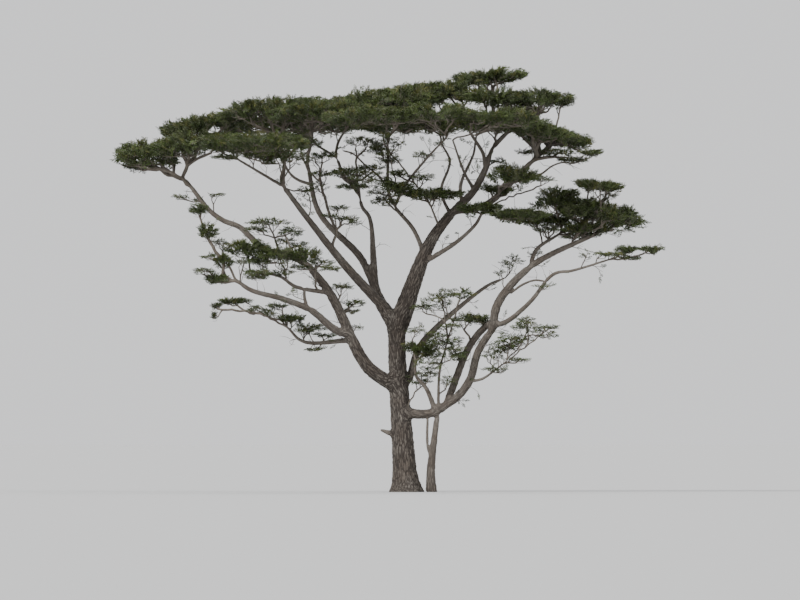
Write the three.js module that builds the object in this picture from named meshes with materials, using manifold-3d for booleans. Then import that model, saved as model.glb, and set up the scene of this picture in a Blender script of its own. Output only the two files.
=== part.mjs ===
// An umbrella acacia: a leaning trunk with a root flare, a slender second stem beside it, long
// ascending boughs, and flat pads of foliage that spread into a wide crown.
// Millimetres, +Z up. The origin is on the ground in the middle of the trunk's flat foot, and the
// crown is seen from the front when looking along +Y. Places below are in metres from that origin.
import * as THREE from "three";
import { mergeVertices } from "three/addons/utils/BufferGeometryUtils.js";
import Module from "manifold-3d";

const wasm = await Module();
wasm.setup();

const metre = 1000;
const jointGap = 0.3; // clear space where one piece of wood meets the next
const leafClearance = 10; // clear space that leaves and twigs keep to any limb
const mergeWithin = 1e-3; // corners closer than this are one corner
const smallestDetail = 0.05; // finer folds than this are smoothed away after cutting and joining

// The trunk: its middle line, how it tapers, its root flare, and how it widens into the fork.
const trunk = {
  line: [[0, 0, 0], [-0.12, 0.03, 1.85], [-0.31, 0, 4.7], [-0.33, 0, 6.25]],
  radius: 0.435,
  taperPerMetre: 0.0245,
  flare: 0.27,
  flareHeight: 0.34,
  rootLobes: 5,
  rootLobeDepth: 0.42,
  forkWidening: 0.12,
  forkThickening: 0.04,
  forkStart: 5.3,
  sides: 15,
  ringHeights: [0, 0.14, 0.34, 0.7, 1.3, 2.1, 3.0, 3.9, 4.7, 5.3, 5.8, 6.25],
};
const deadStub = {
  line: [[-0.3, 0, 2.0], [-0.62, -0.04, 2.12], [-0.88, -0.06, 2.26]],
  radii: [0.075, 0.03], sides: 5,
};

// Every limb's skin: how far apart its rings stand, how many there may be, and how a stem that
// stands on the ground spreads at its foot.
const limbRings = { spacing: 0.46, spacingPerRadius: 2, fewest: 3, most: 11, flareHeight: 0.3 };

// Each limb: the few places that its middle line passes, its radius at the foot and at the tip,
// how fast it thins where that is not even, and its sides. A limb starts inside the one that it
// grows from and is cut clear of it.
const limbs = {
  left_bough: {
    line: [[-0.25, 0, 3.72], [-1.21, -0.4, 4.32], [-1.61, -0.6, 4.82], [-2.68, -1.1, 7.04],
      [-3.5, -1.3, 8.1]],
    radii: [0.26, 0.13], sides: 8,
  },
  left_bough_end: {
    line: [[-3.5, -1.3, 8.1], [-4.14, -1.25, 8.43], [-5.04, -1.1, 8.66], [-5.95, -0.8, 9.46],
      [-6.5, -0.6, 9.68], [-7.0, -0.45, 10.04], [-7.7, -0.25, 10.93]],
    radii: [0.13, 0.075], sides: 7,
  },
  left_middle_bough: {
    line: [[-1.98, -0.82, 5.6], [-2.54, -1.1, 5.8], [-3.36, -1.6, 6.46], [-4.32, -2.1, 6.86],
      [-5.5, -2.55, 7.18], [-5.9, -2.7, 7.43]],
    radii: [0.15, 0.075], sides: 7,
  },
  left_inner_bough: {
    line: [[-2.72, -1.1, 7.1], [-3.93, -1.8, 7.32], [-4.5, -2.05, 7.68], [-5.35, -2.25, 7.82]],
    radii: [0.09, 0.04], sides: 6,
  },
  left_mid_riser: {
    line: [[-4.5, -1.2, 8.5], [-4.68, -1.6, 9.05]],
    radii: [0.055, 0.035], sides: 5,
  },
  left_low_bough: {
    line: [[-1.95, -0.75, 5.42], [-3.68, 0.25, 5.38], [-4.25, 0.6, 5.9]],
    radii: [0.1, 0.045], sides: 6,
  },
  centre_left_bough: {
    line: [[-0.4, 0, 6.0], [-0.93, 0.25, 6.8], [-1.1, 0.4, 7.3], [-1.3, 1.05, 9.8],
      [-1.57, 1.15, 10.2], [-1.68, 1.25, 10.75]],
    radii: [0.31, 0.065], thinning: 2.1, sides: 8,
  },
  great_centre_bough: {
    line: [[-0.26, 0, 6.0], [0.86, -0.5, 8.9], [1.64, -0.65, 9.96], [2.36, -0.6, 10.75],
      [3.0, -0.5, 12.2]],
    radii: [0.39, 0.11], thinning: 1.7, sides: 9,
  },
  left_high_bough: {
    line: [[-0.7, 0.1, 6.5], [-2.18, -0.65, 8.1], [-4.1, -1.45, 10.54], [-4.36, -1.55, 10.93],
      [-4.32, -1.8, 11.8]],
    radii: [0.19, 0.065], sides: 7,
  },
  left_outer_bough: {
    line: [[-4.32, -1.54, 10.86], [-6.0, -2.35, 11.85]],
    radii: [0.06, 0.04], sides: 6,
  },
  left_crossing_bough: {
    line: [[-1.1, 0.4, 7.25], [-1.61, 0.85, 8.36], [-3.11, 1.65, 10.0], [-3.5, 2.15, 11.6]],
    radii: [0.15, 0.075], sides: 7,
  },
  left_back_bough: {
    line: [[-3.35, 1.97, 11.0], [-3.89, 2.5, 11.2], [-4.18, 2.9, 11.45], [-4.4, 3.2, 11.85]],
    radii: [0.065, 0.04], sides: 6,
  },
  high_left_bough: {
    line: [[2.8, -0.53, 11.7], [2.76, -0.72, 12.05], [2.3, -0.95, 12.8]],
    radii: [0.075, 0.05], sides: 6,
  },
  right_thin_bough: {
    line: [[0.5, -0.35, 8.1], [1.86, -1.0, 8.96], [2.5, -1.22, 9.57], [2.68, -1.28, 9.9]],
    radii: [0.1, 0.055], sides: 6,
  },
  right_high_bough: {
    line: [[1.7, -0.65, 10.02], [2.79, -0.45, 10.22], [4.52, -0.75, 11.82]],
    radii: [0.14, 0.085], sides: 7,
  },
  centre_riser: {
    line: [[0.66, -0.42, 8.5], [0.25, -0.15, 9.4], [-0.39, 0.1, 10.18], [-0.61, 0.15, 10.64],
      [-0.64, -0.05, 12.3]],
    radii: [0.085, 0.05], sides: 6,
  },
  centre_back_bough: {
    line: [[1.6, -0.65, 9.9], [1.35, -0.1, 10.4], [1.27, 0.5, 10.86], [1.57, 1.9, 11.86],
      [1.3, 2.6, 12.45]],
    radii: [0.065, 0.04], sides: 6,
  },
  centre_front_bough: {
    line: [[-0.4, 0.1, 10.2], [-0.04, -0.6, 10.93], [0.96, -2.6, 12.11], [1.34, -3.0, 12.5]],
    radii: [0.06, 0.035], sides: 6,
  },
  right_back_bough: {
    line: [[2.0, -0.65, 10.35], [1.94, -0.2, 10.75], [2.0, 0.4, 11.14], [2.43, 2.0, 12.14],
      [2.5, 2.5, 12.64]],
    radii: [0.07, 0.04], sides: 6,
  },
  right_front_bough: {
    line: [[2.38, -0.6, 10.85], [2.04, -1.7, 11.46], [1.7, -3.0, 12.4]],
    radii: [0.06, 0.035], sides: 6,
  },
  centre_mid_spur: {
    line: [[1.2, -0.6, 9.42], [0.9, -1.2, 10.15]],
    radii: [0.05, 0.035], sides: 5,
  },
  right_low_bough: {
    line: [[-0.14, 0, 2.9], [0.3, -0.22, 2.79], [0.95, -0.42, 2.84], [1.93, -0.65, 3.5],
      [2.3, -0.72, 4.05], [2.57, -0.8, 5.0], [3.1, -0.9, 5.86]],
    radii: [0.17, 0.13], sides: 8,
  },
  right_great_bough: {
    line: [[3.08, -0.9, 5.84], [3.29, -0.93, 6.75], [4.46, -0.75, 8.05], [6.9, 0.02, 9.28]],
    radii: [0.17, 0.07], sides: 8,
  },
  right_low_twin: {
    line: [[1.45, -0.53, 3.15], [1.75, -0.3, 3.95], [2.14, -0.25, 4.96], [2.5, -0.42, 5.55],
      [3.16, -0.9, 6.2]],
    radii: [0.135, 0.125], sides: 7,
  },
  right_inner_bough: {
    line: [[4.44, -0.75, 8.02], [4.55, -0.45, 8.45], [4.75, -0.05, 8.75], [5.45, 0.6, 9.2]],
    radii: [0.09, 0.05], sides: 6,
  },
  right_outer_bough: {
    line: [[3.12, -0.9, 5.95], [3.57, -1.1, 6.07], [4.46, -1.5, 6.82], [5.11, -1.75, 7.65],
      [5.4, -1.85, 7.82], [5.9, -2.0, 7.88], [7.2, -2.15, 8.27]],
    radii: [0.1, 0.035], sides: 6,
  },
  inner_right_bough: {
    line: [[-0.22, 0, 3.85], [0.08, 0.15, 4.05], [0.46, 0.5, 5.14], [1.14, 0.85, 5.93],
      [2.93, 1.65, 7.39], [3.4, 1.85, 7.6]],
    radii: [0.15, 0.05], sides: 7,
  },
  crossing_spur: {
    line: [[1.05, -0.45, 2.9], [0.72, -0.62, 3.7], [0.36, -0.72, 4.15], [0.33, -0.75, 4.6]],
    radii: [0.1, 0.045], sides: 6,
  },
  elbow_riser: {
    line: [[1.15, -0.47, 2.93], [1.2, -0.75, 4.3], [1.45, -0.9, 5.3]],
    radii: [0.06, 0.035], sides: 5,
  },
  right_low_spray: {
    line: [[2.27, -0.72, 3.95], [2.72, -1.0, 4.04], [3.46, -1.55, 4.57]],
    radii: [0.06, 0.03], sides: 5,
  },
  second_stem: {
    line: [[0.9, -0.35, 0], [0.89, -0.36, 0.8], [1.13, -0.43, 2.85]],
    radii: [0.17, 0.09], sides: 7, upright: true, flare: 0.06,
  },
};

// Each mass of foliage: the limb whose tip carries it, and its pads. A pad is a flattened
// ellipsoid: its middle, its half sizes across, deep and high, whether it is dense, and how
// steeply it rises to the right.
const dense = true;
const masses = {
  left_tip_foliage: {
    on: "left_bough_end",
    pads: [
      [[-9.25, 0.2, 12.03], [1.3, 1.25, 0.56], dense, 0.03],
      [[-7.7, -0.75, 12.4], [1.6, 1.6, 0.56], dense, 0.1],
      [[-7.2, 1.1, 13.1], [1.65, 1.75, 0.48], dense, 0.17],
    ],
  },
  left_clump_foliage: {
    on: "left_middle_bough",
    pads: [
      [[-6.75, -2.75, 7.66], [0.42, 0.38, 0.27], dense],
      [[-6.48, -2.9, 8.22], [0.36, 0.36, 0.36], dense],
      [[-6.97, -2.9, 9.28], [0.37, 0.37, 0.38], dense],
      [[-7.36, -2.6, 10.05], [0.32, 0.32, 0.27], dense],
    ],
  },
  left_inner_foliage: {
    on: "left_inner_bough",
    pads: [
      [[-5.3, -2.7, 7.78], [0.5, 0.45, 0.2]],
      [[-5.65, -2.5, 8.7], [0.85, 0.6, 0.34], dense],
      [[-4.6, -2.7, 8.4], [0.8, 0.55, 0.38], dense],
    ],
  },
  left_mid_foliage: {
    on: "left_mid_riser",
    pads: [
      [[-4.9, -1.9, 9.6], [0.65, 0.5, 0.18]],
      [[-5.3, -1.75, 9.3], [0.4, 0.4, 0.2]],
      [[-4.1, -1.8, 9.28], [0.42, 0.4, 0.22]],
      [[-3.75, -2.4, 8.38], [0.72, 0.65, 0.36], dense],
    ],
  },
  left_low_foliage: {
    on: "left_low_bough",
    pads: [
      [[-4.1, 0.5, 6.22], [0.55, 0.45, 0.17], dense],
      [[-3.35, 0.5, 5.85], [0.5, 0.45, 0.2]],
      [[-5.2, 0.9, 6.5], [0.5, 0.4, 0.2]],
      [[-6.15, 1.1, 6.86], [0.6, 0.22, 0.12], dense],
    ],
  },
  left_high_foliage: {
    on: "left_high_bough",
    pads: [
      [[-4.9, -1, 13.6], [1.75, 1.75, 0.5], dense, 0.1],
      [[-3.1, -3, 13.5], [1.75, 1.75, 0.46], dense, 0.05],
    ],
  },
  left_outer_foliage: {
    on: "left_outer_bough",
    pads: [
      [[-6, -3, 12.35], [1.55, 1.6, 0.38], dense, 0.02],
      [[-4.85, -5, 12.35], [1.5, 1.5, 0.4], dense],
    ],
  },
  left_crossing_foliage: {
    on: "left_crossing_bough",
    pads: [
      [[-3.3, 1.9, 13.65], [1.7, 1.75, 0.5], dense, 0.1],
      [[-5.5, 2.6, 13.05], [1.55, 1.6, 0.45], dense, 0.1],
    ],
  },
  left_back_foliage: {
    on: "left_back_bough",
    pads: [
      [[-5.3, 5, 12.5], [1.7, 1.6, 0.4], dense, 0.05],
      [[-2.9, 5.1, 13.2], [1.6, 1.6, 0.38], dense, 0.05],
    ],
  },
  centre_left_foliage: {
    on: "centre_left_bough",
    pads: [
      [[-2.0, 1.2, 11.35], [0.6, 0.5, 0.22]],
      [[-1.75, -0.4, 13.92], [1.55, 1.6, 0.48], dense, 0.12],
      [[-1.1, 3.2, 13.7], [1.6, 1.6, 0.45], dense, 0.08],
    ],
  },
  centre_foliage: {
    on: "centre_riser",
    pads: [
      [[0, -1.5, 14.0], [1.5, 1.6, 0.52], dense, 0.05],
      [[0.1, 1.3, 14.05], [1.5, 1.5, 0.5], dense, 0.08],
    ],
  },
  centre_front_foliage: {
    on: "centre_front_bough",
    pads: [
      [[1.5, -3.1, 12.85], [0.4, 0.4, 0.25], dense],
      [[0.9, -4.3, 13.42], [1.6, 1.6, 0.38], dense, 0.05],
      [[-1.5, -5, 13.3], [1.6, 1.5, 0.38], dense, 0.05],
    ],
  },
  centre_back_foliage: {
    on: "centre_back_bough",
    pads: [
      [[1.4, 3.8, 13.45], [1.7, 1.6, 0.4], dense, 0.05],
      [[-0.3, 5.9, 13.2], [1.7, 1.35, 0.36], dense],
    ],
  },
  right_back_foliage: {
    on: "right_back_bough",
    pads: [
      [[3.6, 2.8, 13.45], [1.6, 1.6, 0.4], dense],
      [[3.2, 5.3, 13.2], [1.65, 1.5, 0.36], dense, -0.04],
    ],
  },
  right_front_foliage: {
    on: "right_front_bough",
    pads: [[[3.3, -4.4, 13.28], [1.75, 1.65, 0.38], dense, -0.05]],
  },
  high_left_foliage: {
    on: "high_left_bough",
    pads: [
      [[1.85, -1.6, 13.25], [1.1, 1.0, 0.28], dense],
      [[1.45, -0.4, 14.33], [1.45, 1.6, 0.42], dense, 0.14],
    ],
  },
  top_foliage: {
    on: "great_centre_bough",
    pads: [
      [[3.2, 0.2, 13.2], [1.1, 1.0, 0.26], dense],
      [[3.0, 0.2, 14.84], [1.3, 1.3, 0.29], dense, 0.05],
      [[3.2, -2, 14.05], [1.4, 1.4, 0.36], dense],
    ],
  },
  right_high_foliage: {
    on: "right_high_bough",
    pads: [
      [[4.5, -2.4, 12.92], [1.4, 1.5, 0.36], dense, -0.15],
      [[5.35, 0, 12.72], [1.3, 1.5, 0.37], dense, -0.2],
      [[4.72, -0.3, 14.0], [1.32, 1.4, 0.4], dense, -0.05],
      [[6.55, -1.3, 12.13], [0.48, 0.36, 0.14], dense],
      [[5.2, 2.6, 12.78], [1.35, 1.4, 0.36], dense, -0.18],
    ],
  },
  mid_foliage: {
    on: "centre_mid_spur",
    pads: [
      [[0.93, -1.5, 10.6], [1.15, 0.7, 0.22], dense],
      [[-0.3, -1.7, 10.85], [0.7, 0.6, 0.34], dense],
      [[-1.25, -1.2, 11.05], [0.7, 0.6, 0.42]],
      [[-0.65, -0.7, 11.9], [0.42, 0.4, 0.5]],
    ],
  },
  mid_right_foliage: {
    on: "right_thin_bough",
    pads: [
      [[2.6, -1.7, 10.12], [0.8, 0.6, 0.2], dense],
      [[4.0, -2.0, 9.88], [1.1, 0.6, 0.22], dense, -0.03],
      [[3.85, -2.3, 11.2], [1.0, 0.8, 0.46], dense],
    ],
  },
  right_great_foliage: {
    on: "right_great_bough",
    pads: [
      [[7.0, 0.2, 9.87], [1.75, 1.75, 0.6], dense, -0.17],
      [[6.9, -1.0, 10.93], [0.92, 0.8, 0.2], dense, -0.04],
      [[6.75, 2.5, 10.0], [1.5, 1.4, 0.42], dense, -0.14],
    ],
  },
  right_inner_foliage: {
    on: "right_inner_bough",
    pads: [
      [[5.35, 0.5, 10.4], [0.95, 1.0, 0.48], dense, 0.1],
      [[4.25, 1.1, 9.84], [0.95, 0.9, 0.3], dense],
      [[5.9, 1.3, 9.4], [0.7, 0.6, 0.38]],
    ],
  },
  right_outer_foliage: {
    on: "right_outer_bough",
    pads: [
      [[7.5, -2.3, 8.42], [0.45, 0.4, 0.14]],
      [[8.7, -2.3, 8.66], [0.5, 0.42, 0.14], dense],
      [[7.85, -2.3, 8.62], [0.45, 0.4, 0.16], dense],
    ],
  },
  inner_right_foliage: {
    on: "inner_right_bough",
    pads: [[[3.8, 1.95, 8.1], [0.4, 0.4, 0.4]]],
  },
  crossing_foliage: {
    on: "crossing_spur",
    pads: [[[0.5, -0.85, 5.12], [0.72, 0.5, 0.24], dense]],
  },
  elbow_foliage: {
    on: "elbow_riser",
    pads: [
      [[1.65, -1.2, 4.95], [0.5, 0.4, 0.35]],
      [[0.8, -1.1, 4.5], [0.5, 0.4, 0.4]],
      [[1.9, -1.0, 7.0], [0.5, 0.45, 0.28]],
      [[1.1, -1.0, 6.75], [0.55, 0.5, 0.4]],
    ],
  },
  right_low_foliage: {
    on: "right_low_spray",
    pads: [
      [[3.65, -1.7, 5.3], [0.6, 0.5, 0.36]],
      [[4.3, -1.8, 5.8], [0.55, 0.4, 0.28]],
      [[5.0, -1.9, 5.65], [0.48, 0.3, 0.2]],
    ],
  },
};

// How foliage grows. Each leaf stands for a spray of real leaves. Lengths are in metres.
const growth = {
  firstSeed: 1000,
  seedStep: 17,
  stemLength: 0.18, // how far a mass's stem carries straight on from its bough
  carrierRadius: 0.05, // of a twig that carries a pad, where it is thickest
  carrierThinning: 0.75, // its tip's share of that
  shortCarrier: 0.45, // a very short one's share of that
  fullReach: 1.65, // the length from which a carrying twig has its full thickness
  bendAt: 0.55, // where a carrying twig sags, as a share of its length
  sag: 0.06,
  heartDepth: 0.35, // how far a pad's heart lies below its middle, as a share of its half height
  coreShare: 0.56,
  coreUnevenness: 0.1,
  leavesPerMetre: 7, // of a dense pad's mean half size
  denseLeaves: [5, 10], // fewest and most in a dense pad
  lightLeaves: 5,
  denseHold: 0.46, // where a dense pad's leaves start, as a share of the way to their tips
  lightHold: 0.6, // the share of a light pad's carrying twig that its leaves grow along
  rootSunk: 0.12, // how much of a leaf lies inside a core
  leafWidth: 0.78, // as a share of a leaf's length, as the next three are
  lightLeafWidth: 0.5,
  leafThickness: 0.16,
  widestAt: 0.52,
  leafRoll: 0.4, // radians either way
  raisedReach: 0.76, // every second leaf stands up from the pad's crown and reaches less far out
  raisedLift: 0.92,
  furthestReach: 1.03,
  unevenReach: 0.2,
  unevenTurn: 0.35, // of the angle from one leaf to the next
  unevenLift: 0.45,
};

const vector = (place) => new THREE.Vector3(...place).multiplyScalar(metre);

// A seeded source of numbers from 0 to 1, the same on every run.
function seeded(seed) {
  let state = seed >>> 0;
  return () => {
    state = (state + 0x6d2b79f5) >>> 0;
    let mixed = Math.imul(state ^ (state >>> 15), 1 | state);
    mixed = (mixed + Math.imul(mixed ^ (mixed >>> 7), 61 | mixed)) ^ mixed;
    return ((mixed ^ (mixed >>> 14)) >>> 0) / 4294967296;
  };
}

function solidFrom(geometry) {
  for (const name of Object.keys(geometry.attributes)) {
    if (name !== "position") geometry.deleteAttribute(name);
  }
  const merged = mergeVertices(geometry, mergeWithin);
  return new wasm.Manifold(new wasm.Mesh({
    numProp: 3,
    vertProperties: new Float32Array(merged.attributes.position.array),
    triVerts: new Uint32Array(merged.index.array),
  }));
}

function geometryFrom(solid) {
  const mesh = solid.getMesh();
  const geometry = new THREE.BufferGeometry();
  geometry.setAttribute("position", new THREE.BufferAttribute(new Float32Array(mesh.vertProperties), 3));
  geometry.setIndex(new THREE.BufferAttribute(new Uint32Array(mesh.triVerts), 1));
  geometry.computeVertexNormals();
  return geometry;
}

// Joins rings of points, each turning the same way round the line, into one closed skin.
function skin(rings) {
  const sides = rings[0].length;
  const places = rings.flat();
  const faces = [];
  for (let ring = 0; ring + 1 < rings.length; ring += 1) {
    for (let side = 0; side < sides; side += 1) {
      const next = (side + 1) % sides;
      const [a, b] = [ring * sides + side, ring * sides + next];
      faces.push(a, b, b + sides, a, b + sides, a + sides);
    }
  }
  const last = (rings.length - 1) * sides;
  for (let side = 1; side + 1 < sides; side += 1) {
    faces.push(0, side + 1, side);
    faces.push(last, last + side, last + side + 1);
  }
  const geometry = new THREE.BufferGeometry().setFromPoints(places);
  geometry.setIndex(faces);
  return solidFrom(geometry);
}

function ringAround(centre, across, along, radius, sides) {
  return Array.from({ length: sides }, (_, side) => {
    const angle = (side / sides) * 2 * Math.PI;
    return centre.clone()
      .addScaledVector(across, radius * Math.cos(angle))
      .addScaledVector(along, radius * Math.sin(angle));
  });
}

// A limb's tube, grown all round by a clearance where it is used to cut its neighbours.
function limbTube(limb, grown = 0) {
  const curve = new THREE.CatmullRomCurve3(limb.line.map(vector), false, "centripetal");
  const length = curve.getLength();
  const [foot, tip] = limb.radii.map((radius) => radius * metre);
  const spacing = limbRings.spacing * metre + limbRings.spacingPerRadius * foot;
  const count = THREE.MathUtils.clamp(Math.round(length / spacing), limbRings.fewest, limbRings.most);
  const frames = curve.computeFrenetFrames(count, false);
  const overSize = grown / Math.cos(Math.PI / limb.sides);
  const rings = [];
  for (let step = 0; step <= count; step += 1) {
    const share = step / count;
    const flare = (limb.flare ?? 0) * metre * Math.exp((-share * length) / (limbRings.flareHeight * metre));
    const radius = tip + (foot - tip) * (1 - share) ** (limb.thinning ?? 1) + flare + overSize;
    const ends = step === 0 ? -grown : step === count ? grown : 0;
    const centre = curve.getPointAt(share).addScaledVector(frames.tangents[step], ends);
    const [across, along] = limb.upright
      ? [new THREE.Vector3(1, 0, 0), new THREE.Vector3(0, 1, 0)]
      : [frames.normals[step], frames.binormals[step]];
    rings.push(ringAround(centre, across, along, radius, limb.sides));
  }
  return { solid: skin(rings), tip: curve.getPointAt(1), heading: frames.tangents[count], radius: tip };
}

// The trunk, with its root lobes fading out above the ground and its dead stub fused on.
function trunkSolid(grown = 0) {
  const curve = new THREE.CatmullRomCurve3(trunk.line.map(vector), false, "centripetal");
  const top = trunk.ringHeights.at(-1);
  const rings = trunk.ringHeights.map((height) => {
    const centre = curve.getPointAt(height / top).setZ(height * metre + (height === top ? grown : 0));
    const flare = trunk.flare * Math.exp(-height / trunk.flareHeight);
    const fork = THREE.MathUtils.smoothstep(height, trunk.forkStart, top);
    return Array.from({ length: trunk.sides }, (_, side) => {
      const angle = (side / trunk.sides) * 2 * Math.PI;
      const lobe = 1 - trunk.rootLobeDepth * (0.5 - 0.5 * Math.cos(trunk.rootLobes * angle));
      const round = trunk.radius - trunk.taperPerMetre * height + flare * lobe;
      const wide = (round + fork * trunk.forkWidening) * metre + grown;
      const deep = (round + fork * trunk.forkThickening) * metre + grown;
      return centre.clone().add(new THREE.Vector3(wide * Math.cos(angle), deep * Math.sin(angle), 0));
    });
  });
  return { solid: skin(rings).add(limbTube(deadStub, grown).solid) };
}

function boxesMeet(a, b) {
  return [0, 1, 2].every((axis) => a.min[axis] <= b.max[axis] && b.min[axis] <= a.max[axis]);
}

function largestBody(solid) {
  return solid.decompose().reduce((best, body) => (body.volume() > best.volume() ? body : best));
}

// The wood that stands so far, each piece with the shapes that its neighbours keep clear of.
const wood = new Map();

function cutClear(solid) {
  const box = solid.boundingBox();
  const near = [...wood.values()].filter((other) => boxesMeet(box, other.joint.boundingBox()));
  return near.reduce((left, other) => left.subtract(other.joint), solid);
}

function addWood(name, build) {
  const made = build(0);
  wood.set(name, {
    ...made,
    solid: largestBody(cutClear(made.solid)),
    joint: build(jointGap).solid,
    clear: build(leafClearance).solid,
  });
}

addWood("trunk", trunkSolid);
for (const [name, limb] of Object.entries(limbs)) addWood(name, (grown) => limbTube(limb, grown));

// Two directions square to the given one, the first of them as level as it can be.
function squareTo(direction) {
  const isUpright = Math.abs(direction.z) > 0.96;
  const up = isUpright ? new THREE.Vector3(0, 1, 0) : new THREE.Vector3(0, 0, 1);
  const across = new THREE.Vector3().crossVectors(up, direction).normalize();
  return [across, new THREE.Vector3().crossVectors(direction, across)];
}

// A three-sided twig through a row of points.
function twig(places, footRadius, tipRadius) {
  const rings = places.map((place, step) => {
    const before = places[Math.max(0, step - 1)];
    const after = places[Math.min(places.length - 1, step + 1)];
    const [across, along] = squareTo(after.clone().sub(before).normalize());
    const radius = THREE.MathUtils.lerp(footRadius, tipRadius, step / (places.length - 1));
    return ringAround(place, across, along, radius, 3);
  });
  return skin(rings);
}

// One kite-shaped leaf from its root to its tip, rolled about that line: its keel runs from root
// to tip below, and its upper faces meet in a line across it.
function leaf(root, tip, width, roll) {
  const direction = tip.clone().sub(root);
  const length = direction.length();
  direction.normalize();
  const [across, upward] = squareTo(direction);
  const side = across.clone().multiplyScalar(Math.cos(roll)).addScaledVector(upward, Math.sin(roll));
  const normal = new THREE.Vector3().crossVectors(direction, side);
  const raised = root.clone().lerp(tip, growth.widestAt);
  raised.addScaledVector(normal, length * growth.leafThickness);
  const wings = [-1, 1].map((way) => raised.clone().addScaledVector(side, (way * length * width) / 2));
  const geometry = new THREE.BufferGeometry().setFromPoints([root, tip, ...wings]);
  geometry.setIndex([0, 1, 2, 0, 3, 1, 2, 3, 0, 2, 1, 3]);
  return solidFrom(geometry);
}

// The smaller core of a dense pad, a little uneven, which its leaves stand out of.
function core(middle, half, slope, random) {
  const ball = new THREE.IcosahedronGeometry(1, 0).deleteAttribute("normal").deleteAttribute("uv");
  const geometry = mergeVertices(ball, mergeWithin);
  const places = geometry.attributes.position;
  const corner = new THREE.Vector3();
  for (let index = 0; index < places.count; index += 1) {
    const size = 1 + growth.coreUnevenness * (2 * random() - 1);
    corner.fromBufferAttribute(places, index).multiplyScalar(size);
    places.setXYZ(index, ...corner.toArray());
  }
  geometry.rotateZ(2 * Math.PI * random());
  geometry.scale(...half.map((size) => size * growth.coreShare));
  geometry.applyMatrix4(new THREE.Matrix4().makeShear(0, slope, 0, 0, 0, 0));
  geometry.translate(...middle.toArray());
  return solidFrom(geometry);
}

// The twig that carries a pad, from the nearest wood of its mass to the pad's heart. The first
// one of a mass is its stem too, and starts on the bough's tip.
function growCarrier(heart, grown) {
  const nearer = (best, node) => (node.distanceTo(heart) < best.distanceTo(heart) ? node : best);
  const from = grown.nodes.reduce(nearer);
  const reach = from.distanceTo(heart);
  const bend = from.clone().lerp(heart, growth.bendAt);
  bend.z -= growth.sag * reach;
  const share = Math.min(1, reach / (growth.fullReach * metre));
  const radius = growth.carrierRadius * metre * THREE.MathUtils.lerp(growth.shortCarrier, 1, share);
  const tipRadius = radius * growth.carrierThinning;
  grown.pieces.push(grown.pieces.length === 0
    ? cutClear(twig([grown.foot, from, bend, heart], grown.footRadius, tipRadius))
    : twig([from, bend, heart], radius, tipRadius));
  grown.nodes.push(bend, heart);
  return bend;
}

// Grows one pad: its carrying twig, then leaves all round, low and raised by turns, from its core
// or along that twig. What would touch another limb or mass is skipped.
function growPad([place, halfSizes, isDense, slope = 0], grown, isFree, random) {
  const middle = vector(place);
  const half = halfSizes.map((size) => size * metre);
  const heart = middle.clone().setZ(middle.z - growth.heartDepth * half[2]);
  const bend = growCarrier(heart, grown);
  const body = isDense ? core(middle, half, slope, random) : null;
  const hasCore = body !== null && isFree(body);
  if (hasCore) grown.pieces.push(body);
  const wanted = Math.round((growth.leavesPerMetre * (half[0] + half[1])) / (2 * metre));
  const count = isDense ? THREE.MathUtils.clamp(wanted, ...growth.denseLeaves) : growth.lightLeaves;
  const uneven = (most) => most * (random() - 0.5);
  const turn = random() * 2 * Math.PI;
  for (let index = 0; index < count; index += 1) {
    const isRaised = index % 2 === 1;
    const reach = growth.furthestReach - growth.unevenReach * random();
    const outward = isRaised ? growth.raisedReach * reach : reach;
    const angle = turn + ((index + uneven(growth.unevenTurn)) / count) * 2 * Math.PI;
    const lift = (isRaised ? growth.raisedLift : 0) + uneven(growth.unevenLift);
    const tip = new THREE.Vector3(outward * Math.cos(angle), outward * Math.sin(angle), lift);
    tip.multiply(new THREE.Vector3(...half));
    tip.z += slope * tip.x;
    tip.add(middle);
    const hold = hasCore
      ? middle.clone().lerp(tip, growth.denseHold)
      : heart.clone().lerp(bend, growth.lightHold * (1 - (index + 0.5) / count));
    const sunk = hasCore ? growth.rootSunk * metre : 0;
    const root = hold.clone().addScaledVector(tip.clone().sub(hold).normalize(), -sunk);
    const width = hasCore ? growth.leafWidth : growth.lightLeafWidth;
    const piece = leaf(root, tip, width, uneven(2 * growth.leafRoll));
    if (isFree(piece)) grown.pieces.push(piece);
  }
}

// Grows one mass from its bough's tip, clear of all wood and of the masses grown before it.
function growMass(mass, others, seed) {
  const random = seeded(seed);
  const { tip, heading, radius } = wood.get(mass.on);
  const foot = tip.clone().addScaledVector(heading, jointGap);
  const stemEnd = foot.clone().addScaledVector(heading, growth.stemLength * metre);
  const grown = { pieces: [], nodes: [stemEnd], foot, footRadius: radius };
  const obstacles = [...wood.values()].map((piece) => piece.clear).concat(others);
  const isFree = (piece) => {
    const box = piece.boundingBox();
    const near = obstacles.filter((other) => boxesMeet(box, other.boundingBox()));
    return near.every((other) => piece.intersect(other).isEmpty());
  };
  for (const pad of mass.pads) growPad(pad, grown, isFree, random);
  return largestBody(wasm.Manifold.union(grown.pieces)).simplify(smallestDetail);
}

const bark = new THREE.MeshStandardMaterial({ color: 0x4a3a2c, roughness: 0.95, metalness: 0 });
const foliage = new THREE.MeshStandardMaterial({ color: 0x39491f, roughness: 0.8, metalness: 0 });

function addMesh(group, name, solid, material) {
  const mesh = new THREE.Mesh(geometryFrom(solid), material);
  mesh.name = name;
  group.add(mesh);
}

const tree = new THREE.Group();
for (const [name, piece] of wood) addMesh(tree, name, piece.solid.simplify(smallestDetail), bark);
const grownMasses = [];
Object.entries(masses).forEach(([name, mass], index) => {
  const solid = growMass(mass, grownMasses, growth.firstSeed + growth.seedStep * index);
  grownMasses.push(solid);
  addMesh(tree, name, solid, foliage);
});

export default tree;
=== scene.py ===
import math

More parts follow.
